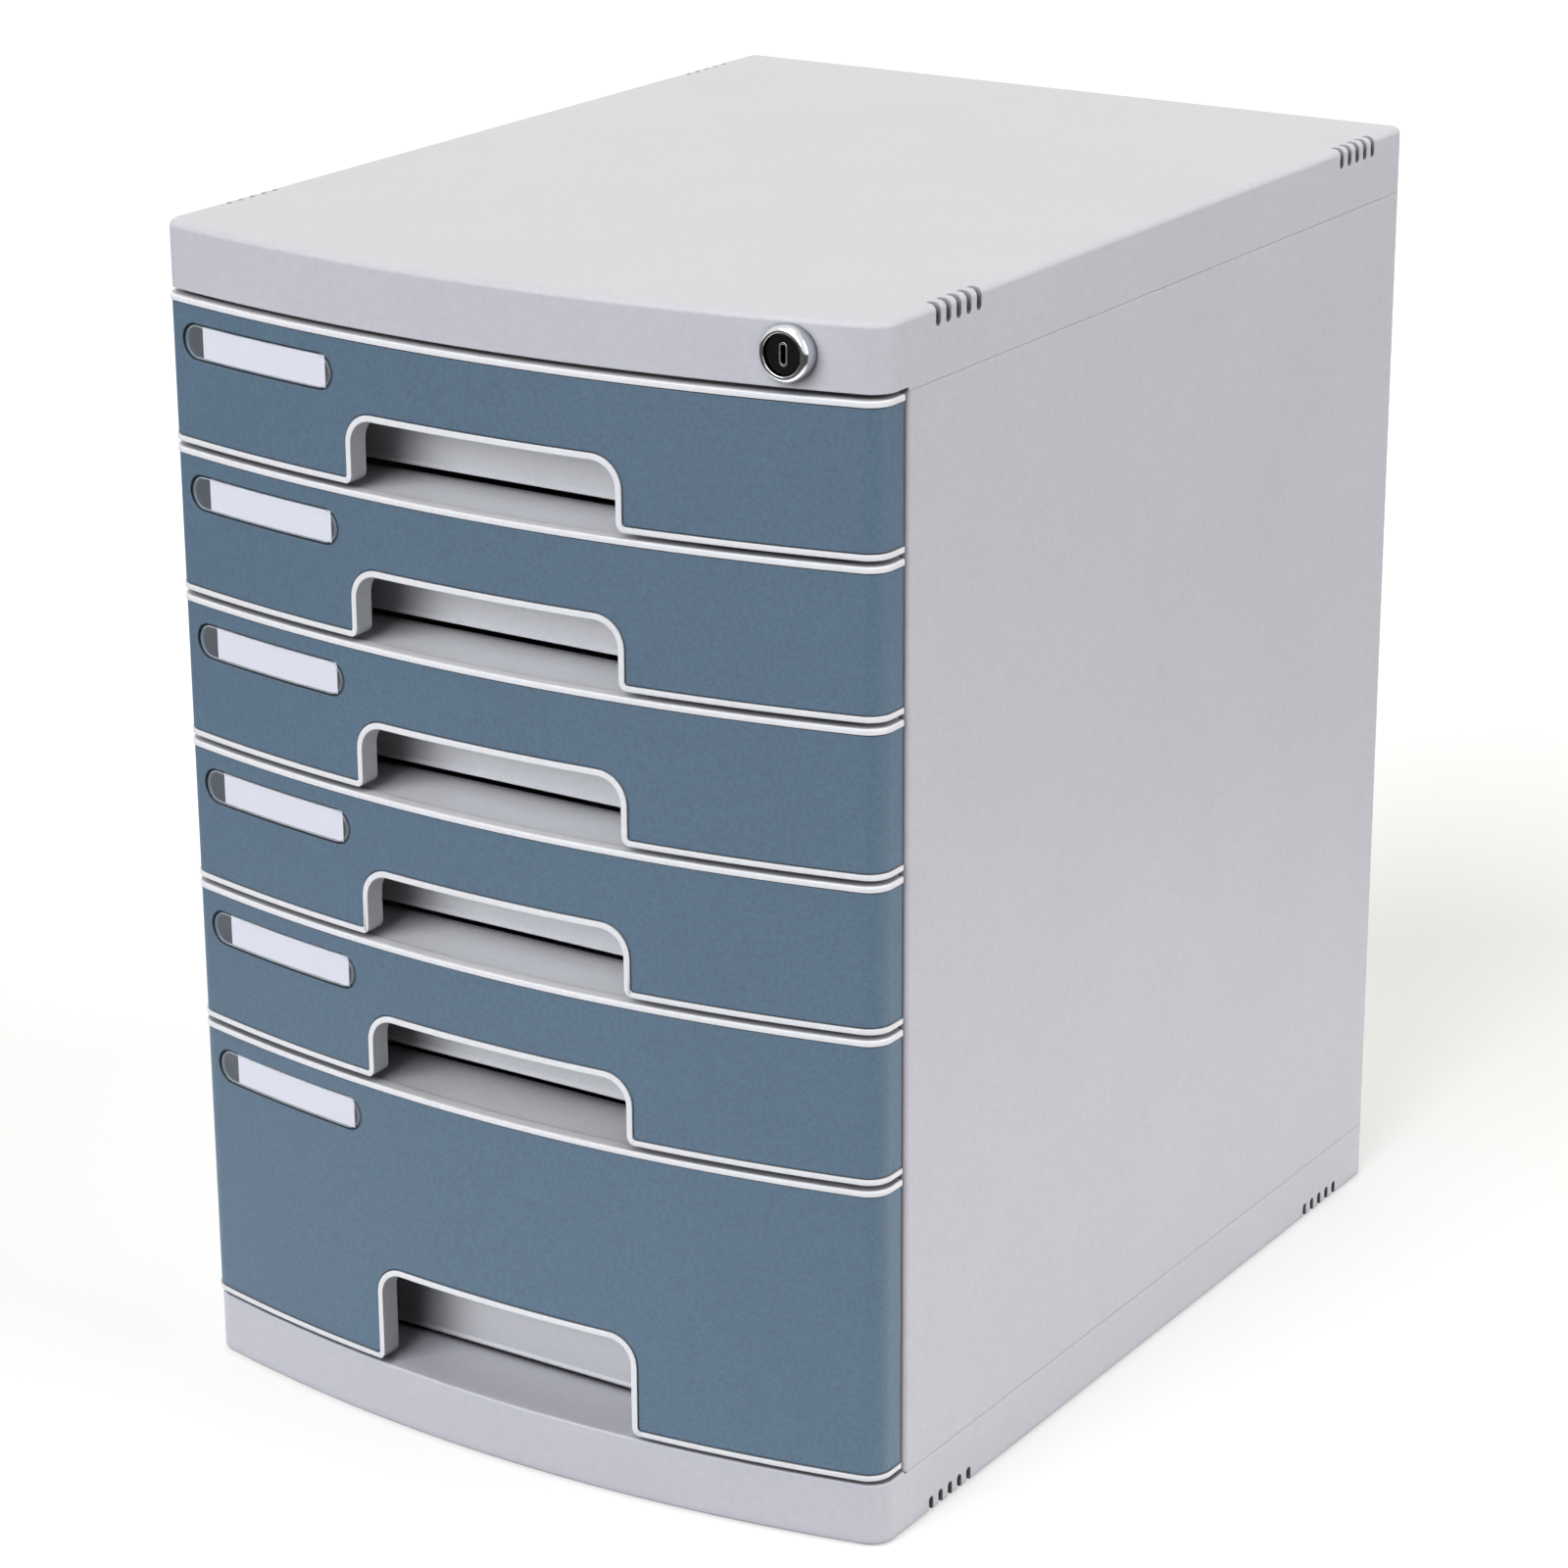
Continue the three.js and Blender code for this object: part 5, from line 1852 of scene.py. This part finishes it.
@dataclass(frozen=True)
class DrawerStack:
    """All drawers, from the top down. Drawers of one height share their solids."""

    shallow: Drawer = Drawer(PLAN.shallow_pitch, grip_height=24.8, tray_floor_rise=1.7)
    deep: Drawer = Drawer(PLAN.deep_pitch, grip_height=37.5, tray_floor_rise=0.9)

    def make(self, drawer: Drawer, plastic: Finish, bays: Iterable[tuple[int, float]]) -> None:
        """Makes the pieces of like drawers.

        Args:
            drawer: the drawer that they repeat.
            plastic: their trays' finish.
            bays: each one's number and its bay's lower line.
        """
        solids = {
            "tray": (drawer.tray(), plastic, "tray", "tray_plastic"),
            "fascia": (drawer.fascia(), FASCIA, "fascia", "fascia_plastic"),
            "window": (drawer.window(), WINDOW, "label_window", "label_window"),
            "card": (drawer.card(), CARD, "label_card", "label_card"),
        }
        for n, line in bays:
            for piece, (solid, finish, node, slot) in solids.items():
                part = Part(f"drawer_{n}_{piece}", finish, f"drawer_{n}", (f"{node}_{n}",), slot)
                part.make(solid.raised(line))

    def build(self) -> None:
        """Makes every drawer's pieces."""
        bays = [(n, PLAN.top_line - n * PLAN.shallow_pitch) for n in range(1, PLAN.shallow_count + 1)]
        self.make(self.shallow, TRAY, bays)
        self.make(self.deep, SHADED_DEEP_TRAY, [(PLAN.shallow_count + 1, PLAN.deep_line)])


@dataclass(frozen=True)
class Lock:
    """The key lock: chrome housing, turning plug with its key slot, nut, cam, screw and bar."""

    x: float = 118.0
    bezel_radius: float = 9.5
    bezel_proud: float = 5.0
    bezel_edge: float = 1.7
    bezel_edge_steps: int = 6
    bore_edge: float = 0.3
    plug_face_radius: float = 6.9
    plug_face_thickness: float = 1.4
    plug_face_drop: float = 1.2
    plug_face_edge: float = 0.5
    fine_edge_steps: int = 4
    plug_radius: float = 5.8
    plug_play: float = 0.25
    barrel_radius: float = 7.5
    barrel_length: float = 15.0
    slot_width: float = 1.9
    slot_height: float = 6.6
    slot_depth: float = 6.0
    slot_steps: int = 8
    keyway_rim: float = 0.7
    keyway_proud: float = 0.15
    keyway_depth: float = 0.6
    cam_thickness: float = 2.0
    cam_play: float = 0.2
    tang_size: float = 6.0
    screw_radius: float = 1.5
    screw_length: float = 6.0
    steps: int = 72

    @property
    def z(self) -> float:
        """The axis's height."""
        return PLAN.cover_front + PLAN.cover_front_height / 2

    @property
    def wall(self) -> float:
        """The cover's outer face at the axis."""
        return PLAN.shell_crown + PLAN.bow_radius - math.sqrt(PLAN.bow_radius**2 - self.x**2)

    @property
    def face(self) -> float:
        """The bezel's front plane."""
        return self.wall - self.bezel_proud

    @property
    def plug_front(self) -> float:
        """The plug's front plane."""
        return self.face + self.plug_face_drop

    @property
    def barrel_back(self) -> float:
        """The barrel's rear end."""
        return self.wall + self.barrel_length

    def turned(self, profile: Sequence[Point2], closed: bool = False) -> Form:
        """Turns a profile of radius and y about the lock's axis, closed on itself or not."""
        return Form.turned(profile, (self.x, self.z), self.steps, closed)

    def bar(self, radius: float, y: Span) -> Form:
        """Gives a round bar on the lock's axis."""
        return self.turned([(radius, y[0]), (radius, y[1])])

    def upright_pill(self, growth: float, y: Span) -> Form:
        """A bar with the key slot's outline.

        Args:
            growth: how far the outline is grown all round.
            y: the bar's front and rear plane.

        Returns:
            The bar.
        """
        height, width = self.slot_height + 2 * growth, self.slot_width + 2 * growth
        flat = pill((0.0, 0.0), height, width, self.slot_steps)
        return Form.prism([(self.x + v, self.z + u) for u, v in flat], y, Axis.BACK)

    def housing(self) -> Form:
        """Builds the bezel and its barrel, with rounded front edges.

        Returns:
            The solid.
        """
        floor = self.plug_front + self.plug_face_thickness + self.plug_play
        bore = self.plug_face_radius + self.plug_play
        inner = self.plug_radius + self.plug_play
        behind_wall = self.wall + PLAN.overrun
        bore_edge = rounding(self.bore_edge, self.fine_edge_steps)
        bezel_edge = rounding(self.bezel_edge, self.bezel_edge_steps)
        profile = [
            (inner, floor),
            (bore, floor),
            *[(bore + inset, self.face + rise) for inset, rise in reversed(bore_edge)],
            *[(self.bezel_radius - inset, self.face + rise) for inset, rise in bezel_edge],
            (self.bezel_radius, behind_wall),
            (self.barrel_radius, behind_wall),
            (self.barrel_radius, self.barrel_back),
            (inner, self.barrel_back),
        ]
        behind = PLAN.shell(-PLAN.seat_gap, (PLAN.cover_side, PLAN.top + PLAN.overrun))
        behind = behind.cut(self.bar(self.barrel_radius, PLAN.grown((PLAN.front_crown, self.barrel_back))))
        return self.turned(profile, True).cut(behind)

    def plug(self) -> Form:
        """Builds the turning plug with its key slot, and the tang that holds the cam.

        Returns:
            The solid.
        """
        front = self.plug_front
        head_back = front + self.plug_face_thickness
        cam_back = self.barrel_back + self.cam_play + self.cam_thickness
        edge = rounding(self.plug_face_edge, self.fine_edge_steps)
        head = [(self.plug_face_radius - inset, front + rise) for inset, rise in edge]
        plug = self.turned([*head, (self.plug_face_radius, head_back)])
        plug = plug.join(self.bar(self.plug_radius, (head_back - PLAN.weld, self.barrel_back)))
        half = self.tang_size / 2
        tang_y = (self.barrel_back - PLAN.weld, cam_back)
        plug = plug.join(Form.block((self.x - half, self.x + half), tang_y, (self.z - half, self.z + half)))
        plug = plug.cut(self.upright_pill(0.0, (front - PLAN.overrun, front + self.slot_depth)))
        rim_y = (front - PLAN.overrun, front + self.keyway_depth)
        plug = plug.cut(self.upright_pill(self.keyway_rim, rim_y))
        screw_y = (cam_back - self.screw_length, cam_back + PLAN.overrun)
        return plug.cut(self.bar(self.screw_radius + self.cam_play, screw_y))

    def keyway(self) -> Form:
        """Builds the steel rim round the key slot."""
        run = (self.plug_front - self.keyway_proud, self.plug_front + self.keyway_depth)
        return self.upright_pill(self.keyway_rim, run).cut(self.upright_pill(0.0, PLAN.grown(run)))

    def build(self) -> None:
        """Makes the lock's pieces and dresses its hidden nodes."""
        Part("lock_bezel", CHROME, "cabinet", ("lock_housing",), "lock_chrome").make(self.housing())
        Part("lock_face", BLACK, "turning_lock", ("lock_plug",), "lock_black").make(self.plug())
        Part("lock_keyway", STEEL, "turning_lock", (), "lock_steel").make(self.keyway())
        catches = [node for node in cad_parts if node.startswith("lock_catch")]
        for node in ("lock_nut", "lock_cam", "cam_screw", "lock_bar", *catches):
            dress_node(node, ZINC)


# The studio


def direction(azimuth: float, elevation: float) -> Vector:
    """The unit vector towards a place round the cabinet.

    Args:
        azimuth: degrees from the front towards the right side.
        elevation: degrees above the floor.

    Returns:
        The vector.
    """
    a, e = math.radians(azimuth), math.radians(elevation)
    return Vector((math.sin(a) * math.cos(e), -math.cos(a) * math.cos(e), math.sin(e)))


@dataclass(frozen=True)
class SoftLamp:
    """A broad lamp far from the cabinet."""

    name: str
    strength: float
    azimuth: float
    elevation: float
    spread: float
    colour: tuple[float, float, float]

    def hang(self) -> None:
        """Adds the lamp to the scene."""
        data = bpy.data.lights.new(self.name, "SUN")
        data.energy = self.strength
        data.angle = math.radians(self.spread)
        data.color = self.colour
        lamp = placed(self.name, data)
        lamp.rotation_mode = "QUATERNION"
        lamp.rotation_quaternion = direction(self.azimuth, self.elevation).to_track_quat("Z", "Y")


@dataclass(frozen=True)
class Studio:
    """The floor, the lamps, the world and the camera."""

    floor_half: float = 9000.0
    front_fill: float = 0.03
    rear_fill: float = 1.7
    rear_azimuth: float = 222.0
    rear_reach: Span = (0.3, 1.0)  # cosines to the rear azimuth where its fill starts and is full
    lamps: tuple[SoftLamp, ...] = (
        SoftLamp("front_softbox", 2.88, -10.0, 30.0, 54.0, (0.965, 0.99, 1.035)),
        SoftLamp("side_softbox", 2.4, 108.0, 20.0, 42.0, (1.0, 0.985, 1.0)),
        SoftLamp("top_softbox", 0.55, 20.0, 88.0, 24.0, (1.0, 0.88, 0.48)),
    )
    target: Point3 = (-13.68, 11.05, 197.97)
    azimuth: float = 32.972
    elevation: float = 19.339
    roll: float = -0.316
    distance: float = 1763.2
    lens: float = 104.18
    sensor: float = 36.0
    clip_end: float = 100.0  # metres

    def floor(self) -> None:
        """Lays the seamless paper."""
        size = self.floor_half / METRE
        corners = [(x, y, 0.0) for x, y in rectangle((-size, size), (-size, size))]
        mesh = bpy.data.meshes.new("studio_floor")
        mesh.from_pydata(corners, [], [(0, 1, 2, 3)])
        mesh.materials.append(StageWhite().material())
        floor = placed("studio_floor", mesh)

    def world(self) -> None:
        """Sets a surround that lights the rear, and is even white to the camera and in reflections."""
        world = bpy.data.worlds.new("studio")
        bpy.context.scene.world = world
        world.use_nodes = True
        tree = world.node_tree
        tree.nodes.clear()
        rays = add_node(tree, "ShaderNodeLightPath").outputs
        seen = rays["Is Camera Ray"]
        for ray in ("Is Glossy Ray", "Is Transmission Ray"):
            either = add_node(tree, "ShaderNodeMath", {"operation": "MAXIMUM"}, {0: seen, 1: rays[ray]})
            seen = either.outputs[0]
        place = add_node(tree, "ShaderNodeTexCoord").outputs["Generated"]
        settings = {"operation": "DOT_PRODUCT", 1: direction(self.rear_azimuth, 0.0)}
        behind = add_node(tree, "ShaderNodeVectorMath", settings, {0: place}).outputs["Value"]
        low, high = self.rear_reach
        ends = {"From Min": low, "From Max": high, "To Min": self.front_fill, "To Max": self.rear_fill}
        fill = add_node(tree, "ShaderNodeMapRange", ends, {"Value": behind}).outputs[0]
        strength = add_node(tree, "ShaderNodeMapRange", links={"Value": seen, "To Min": fill}).outputs[0]
        light = add_node(tree, "ShaderNodeBackground", {"Color": WHITE}, {"Strength": strength})
        add_node(tree, "ShaderNodeOutputWorld", links={"Surface": light.outputs[0]})

    def camera(self) -> None:
        """Sets the camera where the photograph was taken from."""
        back = direction(self.azimuth, self.elevation)
        right = Vector((0, 0, 1)).cross(back).normalized()
        up = back.cross(right)
        roll = math.radians(self.roll)
        level_right = right * math.cos(roll) + up * math.sin(roll)
        level_up = up * math.cos(roll) - right * math.sin(roll)
        data = bpy.data.cameras.new("camera")
        data.lens = self.lens
        data.sensor_width = self.sensor
        data.clip_end = self.clip_end
        camera = placed("camera", data)
        place = (Vector(self.target) + back * self.distance) / METRE
        turn = Matrix((level_right, level_up, back)).transposed().to_4x4()
        camera.matrix_world = Matrix.Translation(place) @ turn
        bpy.context.scene.camera = camera

    def build(self) -> None:
        """Makes the studio."""
        self.floor()
        self.world()
        for lamp in self.lamps:
            lamp.hang()
        self.camera()
        bpy.context.scene.view_settings.view_transform = "Standard"


def main() -> None:
    """Builds every sub-assembly in order."""
    logging.basicConfig(level=logging.INFO, format="%(name)s: %(message)s")
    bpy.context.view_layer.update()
    Studio().build()
    lock = Lock()
    TopCover().build(lock)
    Base().build()
    SidePanels().build()
    DrawerStack().build()
    lock.build()


if __name__ == "__main__":
    main()
